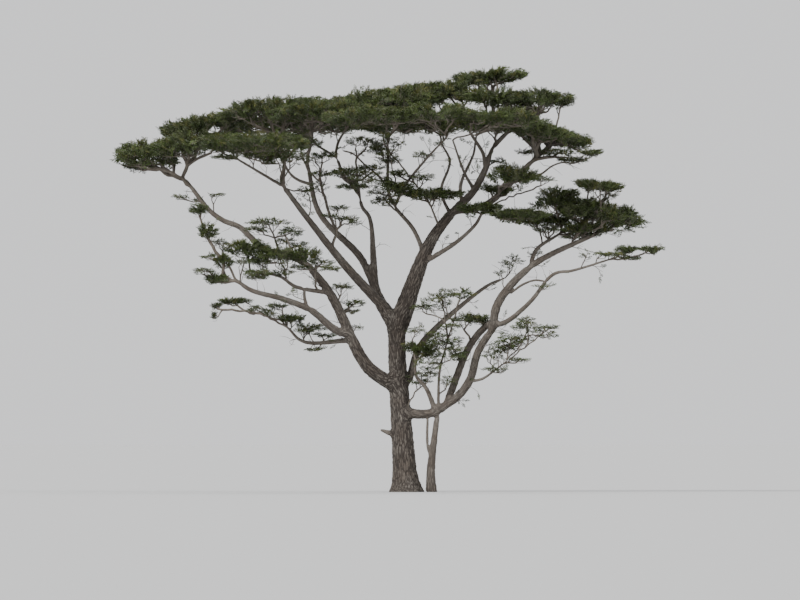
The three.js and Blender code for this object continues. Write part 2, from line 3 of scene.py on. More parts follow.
import bmesh
import bpy
import numpy as np
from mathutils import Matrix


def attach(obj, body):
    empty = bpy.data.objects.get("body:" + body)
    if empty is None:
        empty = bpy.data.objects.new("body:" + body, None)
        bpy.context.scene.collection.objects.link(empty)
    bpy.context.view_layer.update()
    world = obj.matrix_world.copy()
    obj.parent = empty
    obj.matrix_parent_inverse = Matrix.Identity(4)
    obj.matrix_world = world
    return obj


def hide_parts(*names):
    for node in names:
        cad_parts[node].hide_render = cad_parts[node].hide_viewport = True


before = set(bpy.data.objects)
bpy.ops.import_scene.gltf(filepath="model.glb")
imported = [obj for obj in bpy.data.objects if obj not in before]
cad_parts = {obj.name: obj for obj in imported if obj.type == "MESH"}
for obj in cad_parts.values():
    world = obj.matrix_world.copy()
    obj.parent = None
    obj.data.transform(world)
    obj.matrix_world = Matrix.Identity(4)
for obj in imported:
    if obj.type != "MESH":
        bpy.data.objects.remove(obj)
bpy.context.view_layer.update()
print("frame loaded,", len(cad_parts), "nodes")


# Meshes, attributes and node trees

def meshObject(name, places, faces=(), edges=()):
    mesh = bpy.data.meshes.new(name)
    mesh.from_pydata(np.asarray(places).tolist(), list(edges), list(faces))
    made = bpy.data.objects.new(name, mesh)
    bpy.context.scene.collection.objects.link(made)
    return made


def store(mesh, name, kind, values):
    attribute = mesh.attributes.new(name, kind, "POINT")
    field = "vector" if kind == "FLOAT_VECTOR" else "value"
    attribute.data.foreach_set(field, np.asarray(values).ravel())


def pointValues(mesh, name, kind=np.float32):
    values = np.empty(len(mesh.vertices), kind)
    mesh.attributes[name].data.foreach_get("value", values)
    return values


def pointVectors(mesh, name):
    values = np.empty(len(mesh.vertices) * 3, np.float32)
    mesh.attributes[name].data.foreach_get("vector", values)
    return values.reshape(-1, 3)


def replaceByResult(made):
    # works the object's modifiers out into a plain mesh, and drops them
    graph = bpy.context.evaluated_depsgraph_get()
    mesh = bpy.data.meshes.new_from_object(
        made.evaluated_get(graph), preserve_all_data_layers=True, depsgraph=graph)
    made.modifiers.clear()
    old = made.data
    made.data = mesh
    bpy.data.meshes.remove(old)
    mesh.name = made.name
    return made


def node(tree, kind, values=None, **choices):
    made = tree.nodes.new(kind)
    for choice, value in choices.items():
        setattr(made, choice, value)
    for slot, value in (values or {}).items():
        if isinstance(value, bpy.types.NodeSocket):
            tree.links.new(value, made.inputs[slot])
        else:
            made.inputs[slot].default_value = value
    return made


def maths(tree, operation, *values):
    return node(tree, "ShaderNodeMath", dict(enumerate(values)), operation=operation).outputs[0]


def vectorMaths(tree, operation, *values):
    return node(tree, "ShaderNodeVectorMath", dict(enumerate(values)), operation=operation).outputs[0]


def vectorOf(tree, x, y, z):
    return node(tree, "ShaderNodeCombineXYZ", {0: x, 1: y, 2: z}).outputs[0]


def ranged(tree, value, low, high, toLow, toHigh, smooth=False):
    return node(tree, "ShaderNodeMapRange", {0: value, 1: low, 2: high, 3: toLow, 4: toHigh},
                interpolation_type="SMOOTHSTEP" if smooth else "LINEAR").outputs[0]


def noise(tree, place, scale, detail, roughness=0.5):
    values = {"Vector": place, "Scale": scale, "Detail": detail, "Roughness": roughness}
    return node(tree, "ShaderNodeTexNoise", values).outputs


def centred(tree, value, size):
    # a noise's value as a swing of this size about zero
    return maths(tree, "MULTIPLY", maths(tree, "SUBTRACT", value, 0.5), size)


def nodeGroup(kind, name, inputs, outputs):
    # a node group with named inputs (name: (kind of socket, default)) and outputs (name: kind)
    group = bpy.data.node_groups.new(name, kind)
    for label, (socket, default) in inputs.items():
        made = group.interface.new_socket(label, in_out="INPUT", socket_type=f"NodeSocket{socket}")
        if default is not None:
            made.default_value = default
    for label, socket in outputs.items():
        group.interface.new_socket(label, in_out="OUTPUT", socket_type=f"NodeSocket{socket}")
    start = group.nodes.new("NodeGroupInput")
    end = group.nodes.new("NodeGroupOutput")
    return group, start.outputs, end.inputs


def runNodes(made, group, values):
    # gives the object this tree with its named inputs set, and keeps the result
    modifier = made.modifiers.new(group.name, "NODES")
    modifier.node_group = group
    for item in group.interface.items_tree:
        if item.in_out == "INPUT" and item.name in values:
            modifier[item.identifier] = values[item.name]
    return replaceByResult(made)


def readAttribute(tree, name, kind="FLOAT"):
    values = {"Name": name}
    return node(tree, "GeometryNodeInputNamedAttribute", values, data_type=kind).outputs[0]


def endTree(group, result, geometry, material):
    # a tree's last nodes: real faces, all of one material
    real = node(group, "GeometryNodeRealizeInstances", {0: geometry}).outputs[0]
    dressed = node(group, "GeometryNodeSetMaterial", {0: real, "Material": material}).outputs[0]
    group.links.new(dressed, result["Geometry"])
    return group


def finishPiece(made, nodes):
    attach(made, "root")
    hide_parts(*nodes)
    print(made.name, len(made.data.polygons), "faces")


# Where the wood runs: each limb's radius at the foot and at the tip, the few places that its middle
# line passes, and how fast it thins. These are the solids' own, but that the last metre of
# great_centre_bough leans up to 0.1 m further to the right.

def limb(footRadius, tipRadius, *line, **more):
    return {"radii": (footRadius, tipRadius), "line": line, **more}


trunk = {
    "line": [(0, 0, 0), (-0.12, 0.03, 1.85), (-0.31, 0, 4.7), (-0.33, 0, 6.25)],
    "radius": 0.435, "taperPerMetre": 0.0245, "flare": 0.27, "flareHeight": 0.34,
    "rootLobes": 5, "rootLobeDepth": 0.42,
    "forkWidening": 0.12, "forkThickening": 0.04, "forkStart": 5.3,
    "sides": 90, "ringHeight": 0.05, "domeRings": 5, "domeHeight": 0.26,
}

# Thin wood that has no solid of its own, and the piece that it belongs to
stubs = {
    "deadStub": limb(
        0.11, 0.05, (-0.35, 0, 2.05), (-0.62, -0.04, 2.12), (-0.91, -0.06, 2.22), piece="trunkBark"),
    "thinShoot": limb(
        0.055, 0.042, (0.84, -0.37, 1.35), (0.765, -0.4, 1.75), (0.76, -0.4, 2.3), (0.78, -0.4, 2.84),
        piece="trunkBark"),
    "shortStub": limb(
        0.07, 0.05, (-3.45, -1.65, 6.5), (-3.6, -1.72, 6.85), (-3.62, -1.66, 7.25),
        piece="leftBoughBark"),
    "topFork": limb(
        0.1, 0.075, (2.88, -0.54, 11.8), (3.08, -0.5, 12.25), (3.36, -0.47, 12.58),
        (3.64, -0.45, 12.84), piece="highBoughBark"),
    "latticeStem": limb(
        0.065, 0.045, (-1.63, 1.2, 10.5), (-1.9, 1.15, 10.95), (-2.25, 1.05, 11.25),
        (-2.38, 0.85, 11.7), (-2.5, 0.65, 12.05), (-2.42, 0.4, 12.5), (-2.15, 0.1, 12.95),
        piece="centreBoughBark"),
    "latticeBranch": limb(
        0.045, 0.035, (-2.45, 0.75, 11.9), (-2.7, 0.75, 12.1), (-3.15, 0.6, 12.38), (-3.55, 0.5, 12.75),
        (-3.85, 0.4, 13.1), piece="centreBoughBark"),
    "bareTwig": limb(
        0.04, 0.032, (-0.62, 0.1, 10.85), (-1.0, 0.0, 11.3), (-1.46, -0.1, 11.68), (-1.9, -0.15, 12.08),
        (-2.27, -0.2, 12.19), piece="highBoughBark"),
    "outerTwig": limb(
        0.045, 0.03, (3.7, -0.65, 10.98), (4.3, -0.75, 11.18), (4.8, -0.8, 11.33), (5.2, -0.8, 11.62),
        (5.55, -0.8, 11.75), (6.0, -0.8, 11.73), (6.35, -0.8, 11.86), piece="highBoughBark"),
    "crossTwig": limb(
        0.048, 0.036, (3.75, -0.84, 7.12), (4.2, -1.05, 7.42), (4.6, -1.35, 7.55), (4.98, -1.7, 7.5),
        piece="rightBoughBark"),
}

limbs = {
    "left_bough": limb(
        0.26, 0.13, (-0.25, 0, 3.72), (-1.21, -0.4, 4.32), (-1.61, -0.6, 4.82), (-2.68, -1.1, 7.04),
        (-3.5, -1.3, 8.1)),
    "left_bough_end": limb(
        0.13, 0.075, (-3.5, -1.3, 8.1), (-4.14, -1.25, 8.43), (-5.04, -1.1, 8.66), (-5.95, -0.8, 9.46),
        (-6.5, -0.6, 9.68), (-7.0, -0.45, 10.04), (-7.7, -0.25, 10.93)),
    "left_middle_bough": limb(
        0.15, 0.075, (-1.98, -0.82, 5.6), (-2.54, -1.1, 5.8), (-3.36, -1.6, 6.46), (-4.32, -2.1, 6.86),
        (-5.5, -2.55, 7.18), (-5.9, -2.7, 7.43)),
    "left_inner_bough": limb(
        0.09, 0.04, (-2.72, -1.1, 7.1), (-3.93, -1.8, 7.32), (-4.5, -2.05, 7.68), (-5.35, -2.25, 7.82)),
    "left_mid_riser": limb(0.055, 0.035, (-4.5, -1.2, 8.5), (-4.68, -1.6, 9.05)),
    "left_low_bough": limb(0.1, 0.045, (-1.95, -0.75, 5.42), (-3.68, 0.25, 5.38), (-4.25, 0.6, 5.9)),
    "centre_left_bough": limb(
        0.31, 0.065, (-0.4, 0, 6.0), (-0.93, 0.25, 6.8), (-1.1, 0.4, 7.3), (-1.3, 1.05, 9.8),
        (-1.57, 1.15, 10.2), (-1.68, 1.25, 10.75), thinning=2.1),
    "great_centre_bough": limb(
        0.39, 0.11, (-0.26, 0, 6.0), (0.86, -0.5, 8.9), (1.64, -0.65, 9.96), (2.4, -0.6, 10.72),
        (2.88, -0.54, 11.65), (3.04, -0.5, 12.22), thinning=1.7),
    "left_high_bough": limb(
        0.19, 0.065, (-0.7, 0.1, 6.5), (-2.18, -0.65, 8.1), (-4.1, -1.45, 10.54), (-4.36, -1.55, 10.93),
        (-4.32, -1.8, 11.8)),
    "left_outer_bough": limb(0.06, 0.04, (-4.32, -1.54, 10.86), (-6.0, -2.35, 11.85)),
    "left_crossing_bough": limb(
        0.15, 0.075, (-1.1, 0.4, 7.25), (-1.61, 0.85, 8.36), (-3.11, 1.65, 10.0), (-3.5, 2.15, 11.6)),
    "left_back_bough": limb(
        0.065, 0.04, (-3.35, 1.97, 11.0), (-3.89, 2.5, 11.2), (-4.18, 2.9, 11.45), (-4.4, 3.2, 11.85)),
    "high_left_bough": limb(0.075, 0.05, (2.8, -0.53, 11.7), (2.76, -0.72, 12.05), (2.3, -0.95, 12.8)),
    "right_thin_bough": limb(
        0.1, 0.055, (0.5, -0.35, 8.1), (1.86, -1.0, 8.96), (2.5, -1.22, 9.57), (2.68, -1.28, 9.9)),
    "right_high_bough": limb(
        0.14, 0.085, (1.7, -0.65, 10.02), (2.79, -0.45, 10.22), (4.52, -0.75, 11.82)),
    "centre_riser": limb(
        0.085, 0.05, (0.66, -0.42, 8.5), (0.25, -0.15, 9.4), (-0.39, 0.1, 10.18), (-0.61, 0.15, 10.64),
        (-0.64, -0.05, 12.3)),
    "centre_back_bough": limb(
        0.065, 0.04, (1.6, -0.65, 9.9), (1.35, -0.1, 10.4), (1.27, 0.5, 10.86), (1.57, 1.9, 11.86),
        (1.3, 2.6, 12.45)),
    "centre_front_bough": limb(
        0.06, 0.035, (-0.4, 0.1, 10.2), (-0.04, -0.6, 10.93), (0.96, -2.6, 12.11), (1.34, -3.0, 12.5)),
    "right_back_bough": limb(
        0.07, 0.04, (2.0, -0.65, 10.35), (1.94, -0.2, 10.75), (2.0, 0.4, 11.14), (2.43, 2.0, 12.14),
        (2.5, 2.5, 12.64)),
    "right_front_bough": limb(0.06, 0.035, (2.38, -0.6, 10.85), (2.04, -1.7, 11.46), (1.7, -3.0, 12.4)),
    "centre_mid_spur": limb(0.05, 0.035, (1.2, -0.6, 9.42), (0.9, -1.2, 10.15)),
    "right_low_bough": limb(
        0.17, 0.13, (-0.14, 0, 2.9), (0.3, -0.22, 2.79), (0.95, -0.42, 2.84), (1.93, -0.65, 3.5),
        (2.3, -0.72, 4.05), (2.57, -0.8, 5.0), (3.1, -0.9, 5.86)),
    "right_great_bough": limb(
        0.17, 0.07, (3.08, -0.9, 5.84), (3.29, -0.93, 6.75), (4.46, -0.75, 8.05), (6.9, 0.02, 9.28)),
    "right_low_twin": limb(
        0.135, 0.125, (1.45, -0.53, 3.15), (1.75, -0.3, 3.95), (2.14, -0.25, 4.96), (2.5, -0.42, 5.55),
        (3.16, -0.9, 6.2)),
    "right_inner_bough": limb(
        0.09, 0.05, (4.44, -0.75, 8.02), (4.55, -0.45, 8.45), (4.75, -0.05, 8.75), (5.45, 0.6, 9.2)),
    "right_outer_bough": limb(
        0.1, 0.035, (3.12, -0.9, 5.95), (3.57, -1.1, 6.07), (4.46, -1.5, 6.82), (5.11, -1.75, 7.65),
        (5.4, -1.85, 7.82), (5.9, -2.0, 7.88), (7.2, -2.15, 8.27)),
    "inner_right_bough": limb(
        0.15, 0.05, (-0.22, 0, 3.85), (0.08, 0.15, 4.05), (0.46, 0.5, 5.14), (1.14, 0.85, 5.93),
        (2.93, 1.65, 7.39), (3.4, 1.85, 7.6)),
    "crossing_spur": limb(
        0.1, 0.045, (1.05, -0.45, 2.9), (0.72, -0.62, 3.7), (0.36, -0.72, 4.15), (0.33, -0.75, 4.6)),
    "elbow_riser": limb(0.06, 0.035, (1.15, -0.47, 2.93), (1.2, -0.75, 4.3), (1.45, -0.9, 5.3)),
    "right_low_spray": limb(0.06, 0.03, (2.27, -0.72, 3.95), (2.72, -1.0, 4.04), (3.46, -1.55, 4.57)),
    "second_stem": limb(
        0.17, 0.09, (0.9, -0.35, 0), (0.89, -0.36, 0.8), (1.13, -0.43, 2.85), flare=0.06),
}

limbSkin = {
    "spacing": 0.08, "curveSteps": 24, "sides": 20, "flareHeight": 0.3,
    "voxel": 0.021, "rootRun": 2.2, "rootRadius": 0.75, "tipRun": 3.0, "tipShrink": 0.35,
    "collar": 0.7, "collarRun": 0.8,
    "searchReach": 2, "batch": 20000,
    "fillet": 1.3,           # how far a fork is rounded, as a share of the thinner limb's radius
    "rounding": 70, "roundingShare": 0.7, "leastWeight": 0.02,
    "fullReliefRadius": 0.3, "leastRelief": 0.22,
}


def lengths(vectors):
    return np.linalg.norm(vectors, axis=-1)


def unit(vectors):
    return vectors / lengths(vectors)[..., None]


def smoothed(share):
    return share * share * (3 - 2 * share)


def placesAt(wanted, run, places):
    # the places of a line where its run has these values
    return np.stack([np.interp(wanted, run, places[:, axis]) for axis in range(3)], axis=-1)


def smoothLine(points, spacing):
    # an evenly spaced curve through a limb's places, the same as in the solids
    known = np.array(points, float)
    known = np.vstack([2 * known[0] - known[1], known, 2 * known[-1] - known[-2]])
    t = np.linspace(0, 1, limbSkin["curveSteps"], endpoint=False)[:, None]
    parts = []
    for a, b, c, d in zip(known, known[1:], known[2:], known[3:]):
        ab, bc, cd = (math.sqrt(lengths(q - p)) for p, q in ((a, b), (b, c), (c, d)))
        leave = bc * ((b - a) / ab - (c - a) / (ab + bc) + (c - b) / bc)
        arrive = bc * ((c - b) / bc - (d - b) / (bc + cd) + (d - c) / cd)
        parts.append(b + leave * t + (3 * (c - b) - 2 * leave - arrive) * t ** 2
                     + (leave + arrive - 2 * (c - b)) * t ** 3)
    places = np.vstack(parts + [known[-2][None]])
    run = np.concatenate([[0], np.cumsum(lengths(np.diff(places, axis=0)))])
    wanted = np.linspace(0, run[-1], max(2, round(run[-1] / spacing)) + 1)
    return placesAt(wanted, run, places)


def framesAlong(places, firstSide=None):
    # headings along a line, and two directions square to each that turn as little as they can
    headings = unit(np.gradient(places, axis=0))
    across = np.empty_like(headings)
    side = firstSide
    if side is None:
        side = np.cross(headings[0], (0, 0, 1) if abs(headings[0][2]) < 0.9 else (0, 1, 0))
    for index, heading in enumerate(headings):
        side = unit(side - heading * (side @ heading))
        across[index] = side
    return headings, across, np.cross(headings, across)


def limbShape(values):
    places = smoothLine(values["line"], limbSkin["spacing"])
    share = np.linspace(0, 1, len(places))
    foot, tip = values["radii"]
    length = lengths(np.diff(places, axis=0)).sum()
    flare = values.get("flare", 0) * np.exp(-share * length / limbSkin["flareHeight"])
    radii = tip + (foot - tip) * (1 - share) ** values.get("thinning", 1) + flare
    headings, across, along = framesAlong(places)
    return {"places": places, "radii": radii, "run": share * length,
            "headings": headings, "across": across, "along": along}


def trunkShape():
    top = trunk["line"][-1][2]
    heights = np.linspace(0, top, round(top / trunk["ringHeight"]) + 1)
    fine = smoothLine(trunk["line"], trunk["ringHeight"] / 4)
    places = placesAt(heights / top, np.linspace(0, 1, len(fine)), fine)
    places[:, 2] = heights
    bare = trunk["radius"] - trunk["taperPerMetre"] * heights
    flare = trunk["flare"] * np.exp(-heights / trunk["flareHeight"])
    upright = np.tile([[0.0, 0.0, 1.0]], (len(places), 1))
    across = np.tile([[1.0, 0.0, 0.0]], (len(places), 1))
    return {"places": places, "run": heights, "bare": bare, "flare": flare,
            "radii": bare + flare * (1 - trunk["rootLobeDepth"] / 2),
            "headings": upright, "across": across, "along": np.cross(upright, across)}


def ringsSkin(rings):
    # quads between rings of points, with a face over each end
    count, sides = rings.shape[:2]
    starts = np.arange(count - 1)[:, None] * sides
    side = np.arange(sides)[None, :]
    following = (side + 1) % sides
    quads = np.stack([starts + side, starts + following,
                      starts + sides + following, starts + sides + side], axis=-1).reshape(-1, 4)
    ends = [list(range(sides))[::-1], list(range((count - 1) * sides, count * sides))]
    return rings.reshape(-1, 3), quads.tolist() + ends


def limbRings(places, radii):
    headings, across, along = framesAlong(places)
    angles = np.linspace(0, 2 * np.pi, limbSkin["sides"], endpoint=False)[None, :, None]
    rim = across[:, None] * np.cos(angles) + along[:, None] * np.sin(angles)
    return places[:, None] + radii[:, None, None] * rim


def bearerOf(name):
    # the limb that bears this one, and the step along it that is nearest to the foot
    names = list(limbShapes)
    foot = limbShapes[name]["places"][0]
    best = (math.inf, None, 0)
    for other in names[:names.index(name)]:
        bearer = limbShapes[other]
        gap = lengths(bearer["places"] - foot) - bearer["radii"]
        if gap.min() < best[0]:
            best = (gap.min(), bearer, int(gap.argmin()))
    return best[1:]


def rootedRings(name):
    # a limb's rings, led back from its foot into the limb that bears it, with a collar where the
    # two meet, and slimmer at the tip, where a mass's stem takes over
    shape = limbShapes[name]
    places, radii = shape["places"], shape["radii"].copy()
    left = (shape["run"][-1] - shape["run"]) / (limbSkin["tipRun"] * radii[-1])
    radii *= 1 - limbSkin["tipShrink"] * np.clip(1 - left, 0, 1) ** 2
    foot, footRadius = places[0], radii[0]
    if foot[2] < footRadius:
        return limbRings(places, radii)
    bearer, step = bearerOf(name)
    bearerRadius = bearer["radii"][step]
    out = np.clip((lengths(places - bearer["places"][step]) - bearerRadius) / footRadius, 0, None)
    slimness = max(0, 1 - footRadius / bearerRadius)
    radii *= 1 + limbSkin["collar"] * slimness * np.exp(-out / limbSkin["collarRun"])
    run = max(bearer["run"][step] - limbSkin["rootRun"] * footRadius, 0)
    root = placesAt(run, bearer["run"], bearer["places"])
    rootRadius = limbSkin["rootRadius"] * np.interp(run, bearer["run"], bearer["radii"])
    rootRadius = min(rootRadius, footRadius)
    apart = lengths(foot - root)
    bend = foot - shape["headings"][0] * apart / 2
    share = np.linspace(0, 1, max(2, round(apart / limbSkin["spacing"])), endpoint=False)
    t = share[:, None]
    led = (1 - t) ** 2 * root + 2 * (1 - t) * t * bend + t ** 2 * foot
    ledRadii = rootRadius + (footRadius - rootRadius) * share
    return limbRings(np.vstack([led, places]), np.concatenate([ledRadii, radii]))


def trunkRings(shape):
    angles = np.linspace(0, 2 * np.pi, trunk["sides"], endpoint=False)[None, :]
    lobe = 1 - trunk["rootLobeDepth"] * (0.5 - 0.5 * np.cos(trunk["rootLobes"] * angles))
    radius = shape["bare"][:, None] + shape["flare"][:, None] * lobe
    start, top = trunk["forkStart"], shape["run"][-1]
    fork = smoothed(np.clip((shape["run"] - start) / (top - start), 0, 1))[:, None]
    offsets = np.stack([(radius + fork * trunk["forkWidening"]) * np.cos(angles),
                        (radius + fork * trunk["forkThickening"]) * np.sin(angles),
                        np.zeros_like(radius)], axis=-1)
    return shape["places"][:, None] + offsets


limbShapes = {"trunk": trunkShape()}
limbShapes.update({name: limbShape(values) for name, values in {**limbs, **stubs}.items()})
for name, shape in limbShapes.items():
    # the bark's own space runs on from each limb into those that it bears
    foot = shape["places"][0]
    shape["barkStart"] = np.zeros(3)
    if foot[2] > shape["radii"][0]:
        bearer, step = bearerOf(name)
        axes = [bearer[axis][step] for axis in ("across", "along", "headings")]
        shape["barkStart"] = bearer["barkStart"] + (0, 0, bearer["run"][step])
        shape["barkStart"] += axes @ (foot - bearer["places"][step])
        shape["headings"], shape["across"], shape["along"] = framesAlong(shape["places"], axes[0])


def roundedTop(rings):
    # a dome over the last ring, so that no ledge shows between the boughs
    middle = rings[-1].mean(0)
    domes = []
    for step in range(1, trunk["domeRings"] + 1):
        angle = math.pi / 2 * step / (trunk["domeRings"] + 0.5)     # the last ring stays open a little
        ring = middle + (rings[-1] - middle) * math.cos(angle)
        ring[:, 2] += trunk["domeHeight"] * math.sin(angle)
        domes.append(ring)
    return np.concatenate([rings, domes])


def joinedWood():
    # the trunk, the boughs and the stubs as closed tubes, joined into one skin
    skins = [roundedTop(trunkRings(limbShapes["trunk"]))]
    skins += [rootedRings(name) for name in limbShapes if name != "trunk"]
    places, faces, count = [], [], 0
    for rings in skins:
        points, quads = ringsSkin(rings)
        places.append(points)
        faces += [[corner + count for corner in face] for face in quads]
        count += len(points)
    made = meshObject("wood", np.vstack(places), faces)
    remesh = made.modifiers.new("skin", "REMESH")
    remesh.mode = "VOXEL"
    remesh.voxel_size = limbSkin["voxel"]
    remesh.use_smooth_shade = True
    return replaceByResult(made)


def nearestLimbs(places):
    # for each point its nearest limb and the one after it: how far it is from their skins, and its
    # place in their straightened spaces
    count = len(places)
    best, second = (
        {"gap": np.full(count, np.inf), "radius": np.ones(count), "bark": np.zeros((count, 3)),
         "limb": np.zeros(count, int)} for _ in range(2))
    half = limbSkin["spacing"] / 2
    for index, shape in enumerate(limbShapes.values()):
        reach = shape["radii"].max() * limbSkin["searchReach"] + limbSkin["spacing"]
        low, high = shape["places"].min(0) - reach, shape["places"].max(0) + reach
        inside = np.flatnonzero(((places > low) & (places < high)).all(1))
        for chosen in np.array_split(inside, max(1, len(inside) // limbSkin["batch"])):
            near = places[chosen]
            step = ((near[:, None] - shape["places"][None]) ** 2).sum(-1).argmin(1)
            atStart, atEnd = step == 0, step == len(shape["places"]) - 1
            offset = near - shape["places"][step]
            ahead = (offset * shape["headings"][step]).sum(1)
            ahead = np.clip(ahead, np.where(atStart, -np.inf, -half), np.where(atEnd, np.inf, half))
            within = np.clip(ahead, np.where(atStart, 0, -half), np.where(atEnd, 0, half))
            radius = np.interp(shape["run"][step] + within, shape["run"], shape["radii"])
            found = {"gap": lengths(offset - shape["headings"][step] * within[:, None]) - radius,
                     "radius": radius, "limb": np.full(len(near), index),
                     "bark": shape["barkStart"] + np.stack([
                         (offset * shape["across"][step]).sum(1),
                         (offset * shape["along"][step]).sum(1), shape["run"][step] + ahead], axis=1)}
            closer = found["gap"] < best["gap"][chosen]
            runnerUp = ~closer & (found["gap"] < second["gap"][chosen])
            for name, value in found.items():
                second[name][chosen[closer]] = best[name][chosen[closer]]
                best[name][chosen[closer]] = value[closer]
                second[name][chosen[runnerUp]] = value[runnerUp]
    return best, second


# Bark: plates drawn out along the limb, with fissures between them

barkPlates = {
    "width": 0.055, "stretch": 5.5,
    "bendNoise": (0.5, 3.0, 0.6),            # scale, detail and roughness
    "bend": 2.4,
    "layers": ((0.72, 0.24), (1.5, 0.3)),    # how fine the cells are, and how wide their fissures
    "secondShare": 0.55,
}
barkRelief = {
    "depth": 0.03, "level": 0.6,
    "grainNoise": (1.6, 3.0),                # scale and detail
    "grain": 1.1,
    "swelling": 0.02, "swellingSize": 0.4, "seed": 5.0,
}


def platePattern(tree, place, width, stretch):
    # 1 on a plate and 0 in the fissure between two, and the place measured in plates
    wide = maths(tree, "DIVIDE", 1.0, width)
    drawn = maths(tree, "DIVIDE", wide, stretch)
    scaled = vectorMaths(tree, "MULTIPLY", place, vectorOf(tree, wide, wide, drawn))
    bent = noise(tree, scaled, *barkPlates["bendNoise"])["Color"]
    swing = vectorMaths(tree, "SUBTRACT", bent, (0.5, 0.5, 0.5))
    shift = vectorMaths(tree, "MULTIPLY", swing, [barkPlates["bend"]] * 3)
    bentPlace = vectorMaths(tree, "ADD", scaled, shift)
    fissures = []
    for scale, edge in barkPlates["layers"]:
        values = {"Vector": bentPlace, "Scale": scale, "Randomness": 1.0}
        cells = node(tree, "ShaderNodeTexVoronoi", values, feature="DISTANCE_TO_EDGE").outputs["Distance"]
        fissures.append(ranged(tree, cells, 0.0, edge, 0.0, 1.0, smooth=True))
    share = barkPlates["secondShare"]
    second = maths(tree, "ADD", 1 - share, maths(tree, "MULTIPLY", fissures[1], share))
    return maths(tree, "MULTIPLY", fissures[0], second), scaled


def reliefNodes():
    group, given, result = nodeGroup("GeometryNodeTree", "barkRelief", {
        "Geometry": ("Geometry", None), "Plate Width": ("Float", barkPlates["width"]),
        "Plate Stretch": ("Float", barkPlates["stretch"]),
        "Fissure Depth": ("Float", barkRelief["depth"]), "Swelling": ("Float", barkRelief["swelling"]),
        "Swelling Size": ("Float", barkRelief["swellingSize"]),
        "Seed": ("Float", barkRelief["seed"]), "Bark": ("Material", None),
    }, {"Geometry": "Geometry"})
    place = readAttribute(group, "barkPlace", "FLOAT_VECTOR")
    plates, scaled = platePattern(group, place, given["Plate Width"], given["Plate Stretch"])
    grain = noise(group, scaled, *barkRelief["grainNoise"])[0]
    ridges = maths(group, "ADD", plates, centred(group, grain, barkRelief["grain"]))
    ridges = maths(group, "SUBTRACT", ridges, barkRelief["level"])
    ridges = maths(group, "MULTIPLY", ridges, given["Fissure Depth"])
    size = given["Swelling Size"]
    large = node(group, "ShaderNodeTexNoise", {
        "Vector": vectorMaths(group, "DIVIDE", place, vectorOf(group, size, size, size)),
        "W": given["Seed"], "Scale": 1.0, "Detail": 1.0}, noise_dimensions="4D").outputs[0]
    height = maths(group, "ADD", ridges, centred(group, large, given["Swelling"]))
    height = maths(group, "MULTIPLY", height, readAttribute(group, "reliefShare"))
    normal = node(group, "GeometryNodeInputNormal").outputs[0]
    offset = vectorMaths(group, "MULTIPLY", normal, vectorOf(group, height, height, height))
    moved = node(group, "GeometryNodeSetPosition", {"Geometry": given["Geometry"], "Offset": offset})
    return endTree(group, result, moved.outputs[0], given["Bark"])


def closedPiece(name, places, quads, bark, relief):
    # one part of the wood as its own mesh, closed where it was parted from the rest
    used, corners = np.unique(quads, return_inverse=True)
    made = meshObject(name, places[used], corners.reshape(quads.shape).tolist())
    store(made.data, "barkPlace", "FLOAT_VECTOR", bark[used])
    store(made.data, "reliefShare", "FLOAT", relief[used])
    shell = bmesh.new()
    shell.from_mesh(made.data)
    for face in shell.faces:
        face.smooth = True
    rims = [edge for edge in shell.edges if edge.is_boundary]
    for edge in rims:
        edge.smooth = False
    caps = bmesh.ops.holes_fill(shell, edges=rims, sides=0)["faces"]
    for face in caps:
        face.smooth = False
    bmesh.ops.triangulate(shell, faces=caps)
    bmesh.ops.recalc_face_normals(shell, faces=shell.faces)
    shell.to_mesh(made.data)
    shell.free()
    made.data.materials.append(barkMaterial)
    return made


woodPieces = {
    "trunkBark": ["trunk", "second_stem"],
    "leftBoughBark": ["left_bough", "left_bough_end", "left_middle_bough", "left_inner_bough",
                      "left_mid_riser", "left_low_bough"],
    "centreBoughBark": ["centre_left_bough", "left_high_bough", "left_outer_bough",
                        "left_crossing_bough", "left_back_bough"],
    "highBoughBark": ["great_centre_bough", "high_left_bough", "right_thin_bough", "right_high_bough",
                      "centre_riser", "centre_back_bough", "centre_front_bough", "right_back_bough",
                      "right_front_bough", "centre_mid_spur"],
    "rightBoughBark": ["right_low_bough", "right_great_bough", "right_low_twin", "right_inner_bough",
                       "right_outer_bough", "inner_right_bough", "crossing_spur", "elbow_riser",
                       "right_low_spray"],
}


def limbsOf(piece):
    return woodPieces[piece] + [name for name, stub in stubs.items() if stub["piece"] == piece]


def roundedForks(mesh, places, weight):
    # each point moves towards the middle of its neighbours, again and again, near a fork only
    edges = np.empty(len(mesh.edges) * 2, np.int32)
    mesh.edges.foreach_get("vertices", edges)
    near = weight > limbSkin["leastWeight"]
    edges = edges.reshape(-1, 2)
    edges = edges[near[edges].any(1)]
    first, second = np.concatenate([edges, edges[:, ::-1]]).T
    count = np.maximum(np.bincount(first, minlength=len(places)), 1)
    share = np.where(near, limbSkin["roundingShare"] * weight, 0)
    for _ in range(limbSkin["rounding"]):
        for axis in range(3):
            mean = np.bincount(first, places[second, axis], len(places)) / count
            places[:, axis] += share * (mean - places[:, axis])
    return places


